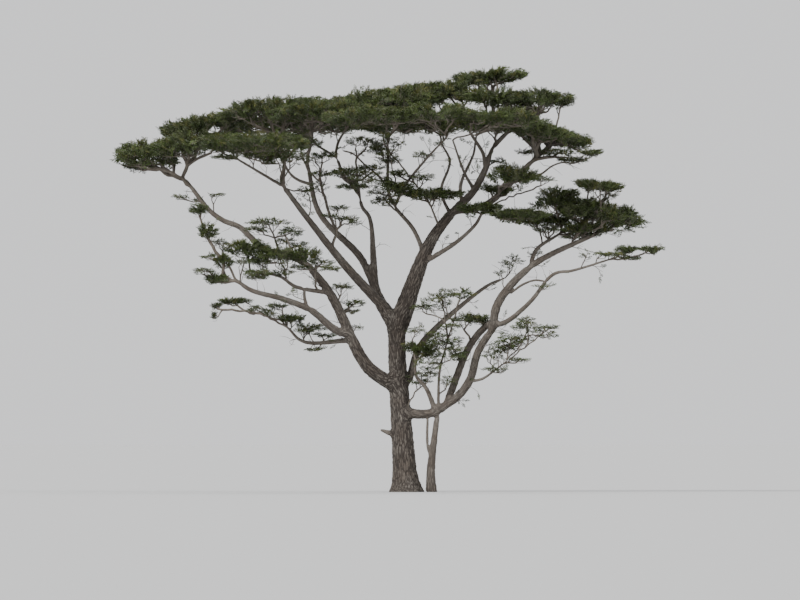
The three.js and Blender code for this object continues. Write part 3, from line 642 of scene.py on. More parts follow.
def readyWood(mesh):
    # rounds the forks off, and stores each point's place in the bark's own space, how much relief
    # it has, and its limb
    places = pointVectors(mesh, "position").astype(float)
    best, second = nearestLimbs(places)
    fill = limbSkin["fillet"] * np.minimum(best["radius"], second["radius"])
    apart = np.clip(np.abs(second["gap"] - best["gap"]) / fill, 0, 1)
    places = roundedForks(mesh, places, 1 - apart * apart)
    mesh.attributes["position"].data.foreach_set("vector", places.astype(np.float32).ravel())
    shift = (1 - smoothed(apart)) / 2
    radius = best["radius"] + (second["radius"] - best["radius"]) * shift
    bark = best["bark"] + (second["bark"] - best["bark"]) * shift[:, None]
    relief = np.clip(radius / limbSkin["fullReliefRadius"], limbSkin["leastRelief"], 1)
    store(mesh, "barkPlace", "FLOAT_VECTOR", bark)
    store(mesh, "reliefShare", "FLOAT", relief)
    store(mesh, "limb", "INT", best["limb"])


def makeWood():
    made = joinedWood()
    readyWood(made.data)
    runNodes(made, reliefNodes(), {"Bark": barkMaterial})
    mesh = made.data
    places = pointVectors(mesh, "position")
    places[:, 2] = np.maximum(places[:, 2], 0)
    bark, relief = pointVectors(mesh, "barkPlace"), pointValues(mesh, "reliefShare")
    corners = np.empty(len(mesh.loops), np.int32)
    mesh.loops.foreach_get("vertex_index", corners)
    quads = corners.reshape(-1, 4)
    names = list(limbShapes)
    part = np.zeros(len(names), int)
    for index, piece in enumerate(woodPieces):
        part[[names.index(member) for member in limbsOf(piece)]] = index
    faceParts = np.sort(part[pointValues(mesh, "limb", np.int32)[quads]], axis=1)[:, 2]
    for index, (name, members) in enumerate(woodPieces.items()):
        piece = closedPiece(name, places, quads[faceParts == index], bark, relief)
        finishPiece(piece, members)
    bpy.data.objects.remove(made)


# Masses of foliage: the wood that each stands on, and its pads by middle, half sizes, kind (light
# unless it says another) and how much it rises towards the right

light, dense, tight = range(3)
masses = {
    "left_tip": {"on": "left_bough_end", "pads": [
        ((-9.25, 0.2, 12.03), (1.3, 1.25, 0.56), dense, 0.03),
        ((-7.7, -0.75, 12.4), (1.6, 1.6, 0.56), dense, 0.1),
        ((-7.2, 1.1, 13.1), (1.65, 1.75, 0.48), dense, 0.17)]},
    "left_clump": {"on": "left_middle_bough", "pads": [
        ((-6.73, -2.75, 7.58), (0.44, 0.38, 0.27), tight),
        ((-6.48, -2.9, 8.22), (0.36, 0.36, 0.36), tight),
        ((-7.04, -2.9, 9.2), (0.39, 0.37, 0.41), tight),
        ((-7.38, -2.6, 10.0), (0.35, 0.32, 0.28), tight)]},
    "left_inner": {"on": "left_inner_bough", "pads": [
        ((-5.3, -2.7, 7.78), (0.5, 0.45, 0.2)),
        ((-5.65, -2.5, 8.7), (0.85, 0.6, 0.34), dense),
        ((-4.6, -2.7, 8.4), (0.8, 0.55, 0.38), dense)]},
    "left_mid": {"on": "left_mid_riser", "pads": [
        ((-4.9, -1.9, 9.6), (0.65, 0.5, 0.18)),
        ((-5.3, -1.75, 9.3), (0.4, 0.4, 0.2)),
        ((-4.1, -1.8, 9.28), (0.42, 0.4, 0.22)),
        ((-3.75, -2.4, 8.38), (0.72, 0.65, 0.36), dense)]},
    "left_low": {"on": "left_low_bough", "pads": [
        ((-4.1, 0.5, 6.22), (0.55, 0.45, 0.17), dense),
        ((-3.35, 0.5, 5.85), (0.5, 0.45, 0.2)),
        ((-5.2, 0.9, 6.5), (0.5, 0.4, 0.2)),
        ((-6.15, 1.1, 6.8), (0.6, 0.22, 0.12), tight)]},
    "left_high": {"on": "left_high_bough", "pads": [
        ((-4.9, -1, 13.6), (1.75, 1.75, 0.5), dense, 0.1),
        ((-3.1, -3, 13.5), (1.75, 1.75, 0.46), dense, 0.05)]},
    "left_outer": {"on": "left_outer_bough", "pads": [
        ((-6, -3, 12.35), (1.55, 1.6, 0.38), dense, 0.02),
        ((-4.85, -5, 12.35), (1.5, 1.5, 0.4), dense)]},
    "left_crossing": {"on": "left_crossing_bough", "pads": [
        ((-3.3, 1.9, 13.65), (1.7, 1.75, 0.5), dense, 0.1),
        ((-5.5, 2.6, 13.05), (1.55, 1.6, 0.45), dense, 0.1)]},
    "left_back": {"on": "left_back_bough", "pads": [
        ((-5.3, 5, 12.5), (1.7, 1.6, 0.4), dense, 0.05),
        ((-2.9, 5.1, 13.2), (1.6, 1.6, 0.38), dense, 0.05)]},
    "centre_left": {"on": "latticeStem", "pads": [
        ((-1.75, -0.4, 13.92), (1.55, 1.6, 0.48), dense, 0.12),
        ((-1.1, 3.2, 13.7), (1.6, 1.6, 0.45), dense, 0.08)]},
    "centre": {"on": "centre_riser", "pads": [
        ((0, -1.5, 14.0), (1.5, 1.6, 0.52), dense, 0.05),
        ((0.1, 1.3, 14.05), (1.5, 1.5, 0.5), dense, 0.08)]},
    "centre_front": {"on": "centre_front_bough", "pads": [
        ((1.5, -3.1, 12.85), (0.4, 0.4, 0.25), dense),
        ((0.9, -4.3, 13.42), (1.6, 1.6, 0.38), dense, 0.05),
        ((-1.5, -5, 13.3), (1.6, 1.5, 0.38), dense, 0.05)]},
    "centre_back": {"on": "centre_back_bough", "pads": [
        ((1.4, 3.8, 13.45), (1.7, 1.6, 0.4), dense, 0.05),
        ((-0.3, 5.9, 13.2), (1.7, 1.35, 0.36), dense)]},
    "right_back": {"on": "right_back_bough", "pads": [
        ((3.6, 2.8, 13.45), (1.6, 1.6, 0.4), dense),
        ((3.2, 5.3, 13.2), (1.65, 1.5, 0.36), dense, -0.04)]},
    "right_front": {"on": "right_front_bough", "pads": [
        ((3.3, -4.4, 13.28), (1.75, 1.65, 0.38), dense, -0.05)]},
    "high_left": {"on": "high_left_bough", "pads": [
        ((1.85, -1.6, 13.25), (1.1, 1.0, 0.28), dense),
        ((1.45, -0.4, 14.33), (1.45, 1.6, 0.42), dense, 0.14)]},
    "top": {"on": "topFork", "pads": [
        ((3.2, 0.2, 13.2), (1.1, 1.0, 0.26), dense),
        ((3.0, 0.2, 14.84), (1.3, 1.3, 0.29), dense, 0.05),
        ((3.2, -2, 14.05), (1.4, 1.4, 0.36), dense)]},
    "right_high": {"on": "right_high_bough", "pads": [
        ((4.5, -2.4, 12.92), (1.4, 1.5, 0.36), dense, -0.15),
        ((5.35, 0, 12.72), (1.3, 1.5, 0.37), dense, -0.2),
        ((4.72, -0.3, 14.0), (1.32, 1.4, 0.4), dense, -0.05),
        ((6.62, -1.3, 12.1), (0.5, 0.36, 0.14), dense),
        ((5.2, 2.6, 12.78), (1.35, 1.4, 0.36), dense, -0.18)]},
    "mid": {"on": "centre_mid_spur", "pads": [
        ((0.93, -1.5, 10.6), (1.15, 0.7, 0.22), dense),
        ((-0.3, -1.7, 10.85), (0.7, 0.6, 0.34), dense),
        ((-1.25, -1.2, 11.05), (0.7, 0.6, 0.42)),
        ((-0.65, -0.7, 11.9), (0.42, 0.4, 0.5))]},
    "mid_right": {"on": "right_thin_bough", "pads": [
        ((2.6, -1.7, 10.12), (0.8, 0.6, 0.2), dense),
        ((4.0, -2.0, 9.88), (1.1, 0.6, 0.22), dense, -0.03),
        ((3.85, -2.3, 11.2), (1.0, 0.8, 0.46), dense)]},
    "right_great": {"on": "right_great_bough", "pads": [
        ((6.95, 0.2, 9.87), (1.68, 1.75, 0.6), dense, -0.17),
        ((6.9, -1.0, 10.93), (0.92, 0.8, 0.2), dense, -0.04),
        ((6.75, 2.5, 10.0), (1.5, 1.4, 0.42), dense, -0.14)]},
    "right_inner": {"on": "right_inner_bough", "pads": [
        ((5.35, 0.5, 10.4), (0.95, 1.0, 0.48), dense, 0.1),
        ((4.25, 1.1, 9.84), (0.95, 0.9, 0.3), dense),
        ((5.9, 1.3, 9.4), (0.7, 0.6, 0.38))]},
    "right_outer": {"on": "right_outer_bough", "pads": [
        ((7.5, -2.3, 8.42), (0.45, 0.4, 0.14)),
        ((8.7, -2.3, 8.66), (0.5, 0.42, 0.14), dense),
        ((7.85, -2.3, 8.62), (0.45, 0.4, 0.16), dense)]},
    "inner_right": {"on": "inner_right_bough", "pads": [
        ((3.8, 1.95, 8.1), (0.4, 0.4, 0.4))]},
    "crossing": {"on": "crossing_spur", "pads": [
        ((0.5, -0.85, 5.12), (0.72, 0.5, 0.24), dense)]},
    "elbow": {"on": "elbow_riser", "pads": [
        ((1.65, -1.2, 4.95), (0.5, 0.4, 0.35)),
        ((0.8, -1.1, 4.5), (0.5, 0.4, 0.4)),
        ((1.9, -1.0, 7.0), (0.5, 0.45, 0.28)),
        ((1.1, -1.0, 6.75), (0.55, 0.5, 0.4))]},
    "right_low": {"on": "right_low_spray", "pads": [
        ((3.65, -1.7, 5.3), (0.6, 0.5, 0.36)),
        ((4.3, -1.8, 5.8), (0.55, 0.4, 0.28)),
        ((5.0, -1.9, 5.58), (0.48, 0.3, 0.2))]},
}

# Smaller sprigs that the crown shows on the sides of limbs: middle, half sizes and kind, as above
sprigs = {
    "left_bough_end": [
        ((-7.42, -0.35, 10.5), (0.22, 0.2, 0.2), tight), ((-8.05, -0.9, 10.5), (0.3, 0.22, 0.1)),
        ((-6.75, -1.0, 10.58), (0.3, 0.22, 0.09)), ((-8.5, -0.4, 11.75), (0.45, 0.4, 0.16)),
        ((-9.95, 0.2, 12.0), (0.5, 0.55, 0.5), dense), ((-9.55, 0.2, 11.66), (0.6, 0.5, 0.2), dense)],
    "left_middle_bough": [
        ((-7.2, -3.0, 7.85), (0.4, 0.3, 0.15)), ((-6.6, -2.2, 8.85), (0.3, 0.28, 0.18)),
        ((-5.75, -2.8, 8.15), (0.35, 0.3, 0.22)), ((-6.95, -2.9, 8.35), (0.35, 0.3, 0.14))],
    "left_inner_bough": [
        ((-4.45, -2.3, 7.75), (0.4, 0.35, 0.14)), ((-3.0, -2.1, 8.15), (0.45, 0.35, 0.18)),
        ((-5.2, -2.45, 8.25), (0.42, 0.36, 0.24), dense), ((-5.3, -2.3, 7.62), (0.42, 0.36, 0.12)),
        ((-2.7, -2.6, 7.95), (0.4, 0.3, 0.12)), ((-3.75, -2.2, 8.0), (0.35, 0.3, 0.12))],
    "left_mid_riser": [
        ((-3.85, -1.5, 8.82), (0.35, 0.3, 0.14)), ((-4.3, -1.6, 8.95), (0.35, 0.3, 0.15))],
    "left_low_bough": [
        ((-4.85, 0.4, 6.35), (0.28, 0.25, 0.12)), ((-3.6, 0.2, 5.72), (0.35, 0.3, 0.14)),
        ((-2.9, 0.3, 5.6), (0.4, 0.3, 0.1)), ((-6.76, 1.15, 6.68), (0.22, 0.2, 0.14), tight),
        ((-6.87, 1.2, 6.28), (0.13, 0.14, 0.24), tight), ((-4.6, 0.8, 6.65), (0.4, 0.3, 0.1)),
        ((-3.3, -0.1, 5.08), (0.35, 0.25, 0.07))],
    "left_bough": [
        ((-2.35, -1.1, 7.3), (0.4, 0.35, 0.14)), ((-1.85, -0.8, 6.7), (0.4, 0.35, 0.14)),
        ((-2.0, -0.5, 6.45), (0.35, 0.3, 0.12)), ((-1.75, -0.6, 5.85), (0.25, 0.2, 0.1))],
    "left_high_bough": [
        ((-3.85, -1.3, 12.7), (0.45, 0.4, 0.3)), ((-3.3, -1.1, 12.45), (0.35, 0.3, 0.22)),
        ((-2.4, -0.6, 10.1), (0.35, 0.3, 0.14)), ((-2.1, -0.5, 9.72), (0.4, 0.3, 0.14)),
        ((-1.85, -0.7, 9.6), (0.25, 0.22, 0.12)), ((-2.7, -0.9, 9.85), (0.3, 0.25, 0.1)),
        ((-3.5, -0.9, 10.5), (0.22, 0.2, 0.4))],
    "left_outer_bough": [
        ((-4.7, -2.4, 11.95), (0.7, 0.6, 0.38), dense), ((-5.4, -2.9, 11.95), (0.45, 0.4, 0.12)),
        ((-6.4, -2.9, 11.9), (0.5, 0.4, 0.1)), ((-3.9, -1.6, 11.95), (0.4, 0.4, 0.3)),
        ((-3.6, -1.0, 10.7), (0.3, 0.3, 0.24))],
    "left_crossing_bough": [
        ((-3.0, -0.2, 11.3), (0.4, 0.35, 0.16)), ((-2.85, -0.3, 12.0), (0.4, 0.35, 0.16)),
        ((-3.6, 0.6, 12.4), (0.5, 0.4, 0.3)), ((-3.15, 0.0, 10.9), (0.3, 0.3, 0.25)),
        ((-3.3, -0.2, 11.85), (0.3, 0.3, 0.3))],
    "centre_left_bough": [
        ((-2.0, 1.2, 11.35), (0.6, 0.5, 0.22)), ((-2.2, -0.6, 11.4), (0.4, 0.4, 0.2)),
        ((-1.9, -0.3, 10.9), (0.6, 0.4, 0.12)), ((-1.5, 0.0, 12.5), (0.6, 0.4, 0.2)),
        ((-1.3, -0.3, 11.55), (0.5, 0.4, 0.14))],
    "centre_riser": [
        ((-1.0, -0.2, 12.2), (0.42, 0.4, 0.36), dense), ((-0.3, -0.2, 12.4), (0.3, 0.3, 0.3)),
        ((-0.75, -0.6, 10.35), (0.5, 0.4, 0.2)), ((-0.6, -0.3, 11.75), (0.34, 0.3, 0.3))],
    "centre_mid_spur": [
        ((-0.72, -0.5, 12.65), (0.3, 0.3, 0.35), dense), ((-1.0, -0.7, 10.6), (0.4, 0.3, 0.2)),
        ((0.5, -1.0, 11.2), (0.5, 0.4, 0.18)), ((-0.3, -1.2, 11.35), (0.35, 0.3, 0.2), dense)],
    "centre_front_bough": [((0.6, -1.8, 12.0), (0.35, 0.3, 0.14))],
    "great_centre_bough": [((3.25, -0.3, 11.75), (0.35, 0.3, 0.24))],
    "right_thin_bough": [((4.95, -2.4, 11.12), (0.35, 0.3, 0.12))],
    "right_high_bough": [
        ((3.4, -1.1, 10.75), (0.5, 0.45, 0.24), dense), ((5.4, -0.8, 12.1), (0.6, 0.5, 0.22)),
        ((6.0, -0.6, 11.85), (0.55, 0.5, 0.2)), ((4.6, -0.4, 12.6), (0.45, 0.4, 0.2)),
        ((4.3, 0.3, 12.1), (0.35, 0.3, 0.14)), ((3.85, -0.6, 13.42), (0.6, 0.5, 0.22), dense),
        ((2.95, -0.9, 10.85), (0.35, 0.3, 0.22), dense)],
    "right_inner_bough": [
        ((5.0, 0.6, 9.4), (0.5, 0.45, 0.25)), ((4.55, 0.7, 9.6), (0.4, 0.35, 0.12)),
        ((6.0, 0.9, 9.1), (0.45, 0.4, 0.2)), ((5.3, 0.8, 9.72), (0.6, 0.5, 0.24), dense)],
    "right_great_bough": [
        ((6.45, 0.0, 9.38), (0.9, 0.8, 0.34), dense), ((2.6, -0.7, 6.2), (0.6, 0.4, 0.2), dense),
        ((7.25, -0.6, 10.55), (0.3, 0.3, 0.15)), ((3.35, -0.8, 7.75), (0.2, 0.2, 0.3)),
        ((4.6, -0.2, 8.55), (0.25, 0.22, 0.3))],
    "right_outer_bough": [
        ((8.0, -2.2, 8.32), (0.4, 0.3, 0.08)), ((6.4, -2.2, 8.4), (0.22, 0.2, 0.28)),
        ((6.95, -2.2, 8.4), (0.3, 0.25, 0.14)), ((4.85, -1.8, 7.3), (0.3, 0.25, 0.12))],
    "right_low_twin": [
        ((2.1, -0.9, 6.15), (0.5, 0.4, 0.2)), ((1.75, -0.8, 5.35), (0.3, 0.3, 0.2)),
        ((1.9, -0.6, 4.75), (0.3, 0.3, 0.2)), ((1.8, -0.9, 5.0), (0.32, 0.3, 0.3))],
    "elbow_riser": [
        ((1.3, -1.1, 7.0), (0.25, 0.22, 0.36), dense), ((0.55, -0.9, 6.55), (0.35, 0.3, 0.18)),
        ((1.1, -1.0, 5.5), (0.45, 0.4, 0.3)), ((1.5, -0.9, 3.95), (0.3, 0.3, 0.24)),
        ((1.55, -1.2, 5.85), (0.4, 0.35, 0.2))],
    "crossing_spur": [
        ((1.2, -1.0, 5.3), (0.45, 0.35, 0.16)), ((0.85, -0.9, 4.85), (0.45, 0.35, 0.16)),
        ((0.75, -0.6, 4.15), (0.4, 0.35, 0.24)), ((0.35, -1.0, 5.75), (0.3, 0.3, 0.2))],
    "right_low_spray": [
        ((5.1, -1.9, 5.87), (0.35, 0.25, 0.08)), ((4.25, -1.6, 6.15), (0.3, 0.25, 0.12)),
        ((4.1, -1.7, 5.45), (0.4, 0.35, 0.2)), ((3.6, -1.5, 5.05), (0.45, 0.4, 0.2)),
        ((3.1, -1.4, 4.9), (0.4, 0.35, 0.35)), ((4.0, -1.7, 4.68), (0.36, 0.28, 0.12)),
        ((3.2, -1.5, 4.35), (0.4, 0.3, 0.14))],
    "right_low_bough": [((0.5, -0.5, 3.9), (0.4, 0.3, 0.12))],
}

# Gaps that open through the crown, seen from the front: x, z and half sizes
crownGaps = [
    (-2.43, 14.47, 0.55, 0.31), (-2.75, 14.2, 0.12, 0.16), (-6.8, 12.95, 0.28, 0.15),
    (-5.25, 13.0, 0.36, 0.15), (-5.85, 12.82, 0.24, 0.08), (-5.25, 12.27, 0.3, 0.08),
    (1.12, 13.66, 0.28, 0.14), (2.7, 13.66, 0.62, 0.13), (2.45, 14.5, 0.24, 0.12),
    (5.38, 13.42, 0.68, 0.22), (4.3, 10.62, 0.35, 0.22),
]


# Finishes

barkGrain = {
    "shrink": 0.22,          # how far the grain is drawn out along the wood
    "grainNoise": (5.0, 0.65), "toneDetail": 3.0,
}
barkFinish = {
    "ridge": (0.125, 0.102, 0.082, 1), "pale": (0.205, 0.185, 0.16, 1),
    # the fissure colour darkens the grain at random, and in the fissures it is painted shade
    "fissure": (0.022, 0.016, 0.012, 1), "paleTones": (0.38, 0.68), "darkGrains": (0.3, 0.6),
    # the dark grain's strength, then the painted shade in the fissures: its least strength, and the
    # relief share at which it is full
    "dark": 0.55, "leastFissureShade": 0.25, "fullFissureShadeShare": 0.7,
    "grainScale": 26.0, "toneScale": 1.3, "plateHeight": 0.6,
    "roughness": (0.82, 0.97), "bump": (0.35, 0.02),
}
twigFinish = {
    "bark": (0.09, 0.072, 0.056, 1), "pale": (0.17, 0.148, 0.122, 1), "paleTones": (0.8, 1.2),
    "grainScale": 60.0, "toneScale": 4.0, "roughness": (0.82, 0.97), "bump": (0.3, 0.004),
}
leafFinish = {
    "tints": {"deepOlive": (0.036, 0.055, 0.011, 1), "olive": (0.055, 0.082, 0.016, 1),
              "fresh": (0.082, 0.115, 0.022, 1), "dusty": (0.085, 0.1, 0.04, 1),
              "ripe": (0.12, 0.125, 0.028, 1)},
    # painted light: the tints run from darkest to lightest, and shoots high in a pad take the lighter
    # ones and low shoots the darker, over a random spread of tone
    "mix": (0.24, 0.32, 0.22, 0.14, 0.08), "paintedLightOnTop": 0.5, "tintSpread": 0.3,
    "mottleScale": 34.0, "mottleDetail": 3.0, "mottles": (0.35, 0.65),
    "darkMottle": (0.01, 0.014, 0.004, 1), "darkShare": 0.45,
    "roughness": (0.5, 0.72), "bump": (0.15, 0.003),
}
usualNoise = (0.3, 0.7)      # between these lie most of a noise's values


def plainMaterial(name):
    material = bpy.data.materials.new(name)
    material.use_nodes = True
    tree = material.node_tree
    tree.nodes.clear()
    shader = tree.nodes.new("ShaderNodeBsdfPrincipled")
    output = tree.nodes.new("ShaderNodeOutputMaterial")
    tree.links.new(shader.outputs[0], output.inputs[0])
    return material, tree, shader


def finishSurface(tree, shader, finish, color, grain, height):
    # the shader's colour, its roughness by the grain, and its bump by the height
    tree.links.new(color, shader.inputs["Base Color"])
    roughness = ranged(tree, grain, *usualNoise, *finish["roughness"])
    tree.links.new(roughness, shader.inputs["Roughness"])
    strength, distance = finish["bump"]
    bump = node(tree, "ShaderNodeBump", {"Strength": strength, "Distance": distance, "Height": height})
    tree.links.new(bump.outputs[0], shader.inputs["Normal"])


def mixed(tree, share, first, second):
    made = node(tree, "ShaderNodeMix", {0: share, 6: first, 7: second}, data_type="RGBA")
    return made.outputs[2]


def grouped(tree, group, values):
    return node(tree, "ShaderNodeGroup", values, node_tree=group).outputs


def grainGroup():
    # fine grain along the wood and broad tone, for any bark
    group, given, result = nodeGroup("ShaderNodeTree", "barkGrain", {
        "Place": ("Vector", None), "Grain Scale": ("Float", barkFinish["grainScale"]),
        "Tone Scale": ("Float", barkFinish["toneScale"]),
    }, {"Grain": "Float", "Tone": "Float"})
    drawn = vectorMaths(group, "MULTIPLY", given["Place"], (1.0, 1.0, barkGrain["shrink"]))
    grain = noise(group, drawn, given["Grain Scale"], *barkGrain["grainNoise"])[0]
    tone = noise(group, given["Place"], given["Tone Scale"], barkGrain["toneDetail"])[0]
    group.links.new(grain, result["Grain"])
    group.links.new(tone, result["Tone"])
    return group


def makeBark(grain):
    material, tree, shader = plainMaterial("bark")
    place = node(tree, "ShaderNodeAttribute", attribute_name="barkPlace").outputs["Vector"]
    plates, _ = platePattern(tree, place, barkPlates["width"], barkPlates["stretch"])
    surface = grouped(tree, grain, {"Place": place})
    pale = ranged(tree, surface["Tone"], *barkFinish["paleTones"], 0.0, 1.0)
    ridge = mixed(tree, pale, barkFinish["ridge"], barkFinish["pale"])
    dark = ranged(tree, surface["Grain"], *barkFinish["darkGrains"], barkFinish["dark"], 0.0)
    ridge = mixed(tree, dark, ridge, barkFinish["fissure"])
    # painted shade: the fissures between the plates go to the near-black fissure colour, more so where
    # the relief is deeper, as shade falls in them
    relief = node(tree, "ShaderNodeAttribute", attribute_name="reliefShare").outputs["Fac"]
    fissureShade = ranged(tree, relief, limbSkin["leastRelief"], barkFinish["fullFissureShadeShare"],
                      barkFinish["leastFissureShade"], 1.0)
    fissures = maths(tree, "MULTIPLY", maths(tree, "SUBTRACT", 1.0, plates), fissureShade)
    color = mixed(tree, maths(tree, "SUBTRACT", 1.0, fissures), barkFinish["fissure"], ridge)
    height = maths(tree, "MULTIPLY", plates, barkFinish["plateHeight"])
    height = maths(tree, "ADD", height, surface["Grain"])
    finishSurface(tree, shader, barkFinish, color, surface["Grain"], height)
    return material


def makeTwigBark(grain):
    material, tree, shader = plainMaterial("twigBark")
    place = node(tree, "ShaderNodeTexCoord").outputs["Object"]
    surface = grouped(tree, grain, {"Place": place, "Grain Scale": twigFinish["grainScale"],
                                    "Tone Scale": twigFinish["toneScale"]})
    tone = maths(tree, "ADD", surface["Tone"], surface["Grain"])
    pale = ranged(tree, tone, *twigFinish["paleTones"], 0.0, 1.0)
    color = mixed(tree, pale, twigFinish["bark"], twigFinish["pale"])
    finishSurface(tree, shader, twigFinish, color, surface["Grain"], surface["Grain"])
    return material


def leafGroup():
    # a leaf's mottled colour and its height, from a plain tint
    group, given, result = nodeGroup("ShaderNodeTree", "leafSurface", {
        "Place": ("Vector", None), "Tint": ("Color", leafFinish["tints"]["olive"]),
        "Mottle Scale": ("Float", leafFinish["mottleScale"]),
    }, {"Color": "Color", "Height": "Float"})
    mottle = noise(group, given["Place"], given["Mottle Scale"], leafFinish["mottleDetail"])[0]
    darker = mixed(group, leafFinish["darkShare"], given["Tint"], leafFinish["darkMottle"])
    share = ranged(group, mottle, *leafFinish["mottles"], 1.0, 0.0)
    group.links.new(mixed(group, share, given["Tint"], darker), result["Color"])
    group.links.new(mottle, result["Height"])
    return group


def makeLeaf(name, tint, surfaceGroup):
    material, tree, shader = plainMaterial(name)
    place = node(tree, "ShaderNodeTexCoord").outputs["Object"]
    surface = grouped(tree, surfaceGroup, {"Place": place, "Tint": tint})
    finishSurface(tree, shader, leafFinish, surface["Color"], surface["Height"], surface["Height"])
    return material


grain = grainGroup()
barkMaterial = makeBark(grain)
twigMaterial = makeTwigBark(grain)
leafSurface = leafGroup()
leafMaterials = [makeLeaf(name, tint, leafSurface) for name, tint in leafFinish["tints"].items()]


# Floor, light and camera

stage = {
    "floorReach": 3000.0, "floorColor": (0.47, 0.47, 0.468, 1), "floorRoughness": 0.9,
    "worldColor": (0.86, 0.865, 0.875, 1), "worldStrength": 1.15,
    "lights": {       # strength, softness and turn in degrees
        "key": (3.2, 14, (52, 0, -38)), "fill": (1.1, 40, (60, 0, 60)), "back": (0.8, 30, (50, 0, 170))},
    "eyeHeight": 2.0, "distance": 560.0, "sensorWidth": 36.0,
    "pixelsPerMetre": 28.0, "imageWidth": 800, "imageHeight": 600, "foot": (406, 492),
}


def makeStage():
    half = stage["floorReach"]
    corners = [(-half, -half, 0), (half, -half, 0), (half, half, 0), (-half, half, 0)]
    floor = meshObject("floor", corners, [(0, 1, 2, 3)])
    material, tree, shader = plainMaterial("floorPaint")
    shader.inputs["Base Color"].default_value = stage["floorColor"]
    shader.inputs["Roughness"].default_value = stage["floorRoughness"]
    floor.data.materials.append(material)
    world = bpy.data.worlds.new("studio")
    world.use_nodes = True
    background = world.node_tree.nodes["Background"]
    background.inputs["Color"].default_value = stage["worldColor"]
    background.inputs["Strength"].default_value = stage["worldStrength"]
    bpy.context.scene.world = world
    for name, (strength, softness, turn) in stage["lights"].items():
        lamp = bpy.data.lights.new(name, "SUN")
        lamp.energy = strength
        lamp.angle = math.radians(softness)
        made = bpy.data.objects.new(name, lamp)
        made.rotation_euler = [math.radians(angle) for angle in turn]
        bpy.context.scene.collection.objects.link(made)


def makeCamera():
    # far off and low, through a long lens, so that the frame is the photograph's
    scale = stage["pixelsPerMetre"]
    width = stage["imageWidth"] / scale
    middleX = (stage["imageWidth"] / 2 - stage["foot"][0]) / scale
    middleZ = (stage["foot"][1] - stage["imageHeight"] / 2) / scale
    camera = bpy.data.objects.new("camera", bpy.data.cameras.new("camera"))
    camera.location = (middleX, -stage["distance"], stage["eyeHeight"])
    tilt = math.atan2(middleZ - stage["eyeHeight"], stage["distance"])
    camera.rotation_euler = (math.pi / 2 + tilt, 0, 0)
    camera.data.sensor_width = stage["sensorWidth"]
    camera.data.lens = camera.data.sensor_width * stage["distance"] / width
    camera.data.clip_end = 4 * stage["floorReach"]
    bpy.context.scene.collection.objects.link(camera)
    bpy.context.scene.camera = camera


makeStage()
makeCamera()
print("stage and camera ready")

makeWood()
print("wood ready")


# Foliage. Each mass grows by the solids' rule: a stem straight on from its bough's tip, a twig from
# the nearest wood to each pad's heart, then ever finer twigs, each from the wood that serves it best,
# out to leafy shoots that fill the pad.

growth = {
    "seed": 12,
    "room": 9000,            # most points in the wood of one mass
    "stemLength": 0.18, "bendAt": 0.55, "sag": 0.06, "heartDepth": 0.35,
    "hubs": {light: 4, dense: 9, tight: 4}, "hubReach": 0.55, "hubDepth": 0.7,
    "hubSpread": (0.8, 1.2), "hubTurn": 0.15,
    "boughShare": 0.62, "sideCost": 0.08, "runCost": 0.36, "turnCost": 0.3,
    "step": 0.16, "wander": 0.02, "handle": 0.36, "leaveShare": 0.45, "arriveShare": 0.6,
}
shoots = {
    "perSquareMetre": {light: 28, dense: 40, tight: 85}, "smallPadBonus": 0.5,
    "fewest": {light: 9, dense: 20, tight: 34},
    "lengths": {light: (0.18, 0.36), dense: (0.26, 0.5), tight: (0.2, 0.36)}, "longest": 0.62,
    "rimGrowth": (0.85, 0.35), "padGrowth": (0.1, 0.5),
    "back": {light: 0.5, dense: 0.8, tight: 0.65},
    "rimWaves": 0.2, "waveCounts": (2, 3, 5), "furthest": 1.06, "jitter": 0.05,
    "top": 1.0, "bottom": -0.6, "domeFall": 0.85, "crowding": 0.7,
    "tuftArea": 0.45, "fewestTufts": 8, "tuftPull": 0.14, "tuftStray": 0.3,
    "tuftLevels": (-0.8, 0.8), "tuftRise": 0.26,
    "outward": (0.25, 0.7), "fromTuft": 1.1, "stray": 0.28,
    "lift": {light: 0.35, dense: 0.85, tight: 1.2},
    "leastLift": 0.12, "middleLift": 0.95, "liftReach": 1.1, "topLift": 0.2,
    "clearOfLimbs": 0.03, "twigShare": 0.9,
    "fullLoad": 0.38,        # length of a shoot that loads its twig with 1
}
spurs = {
    "spacing": 0.75, "span": (0.28, 0.95), "length": (0.16, 0.45), "stoutest": 0.28,
    "forward": 0.5, "rise": 0.35, "load": 0.4,
    "leafyShare": 0.6, "ends": (2, 5), "spread": 0.14, "stray": 0.3,
}
anyTurn = 6.3                # radians
tiny = 1e-6


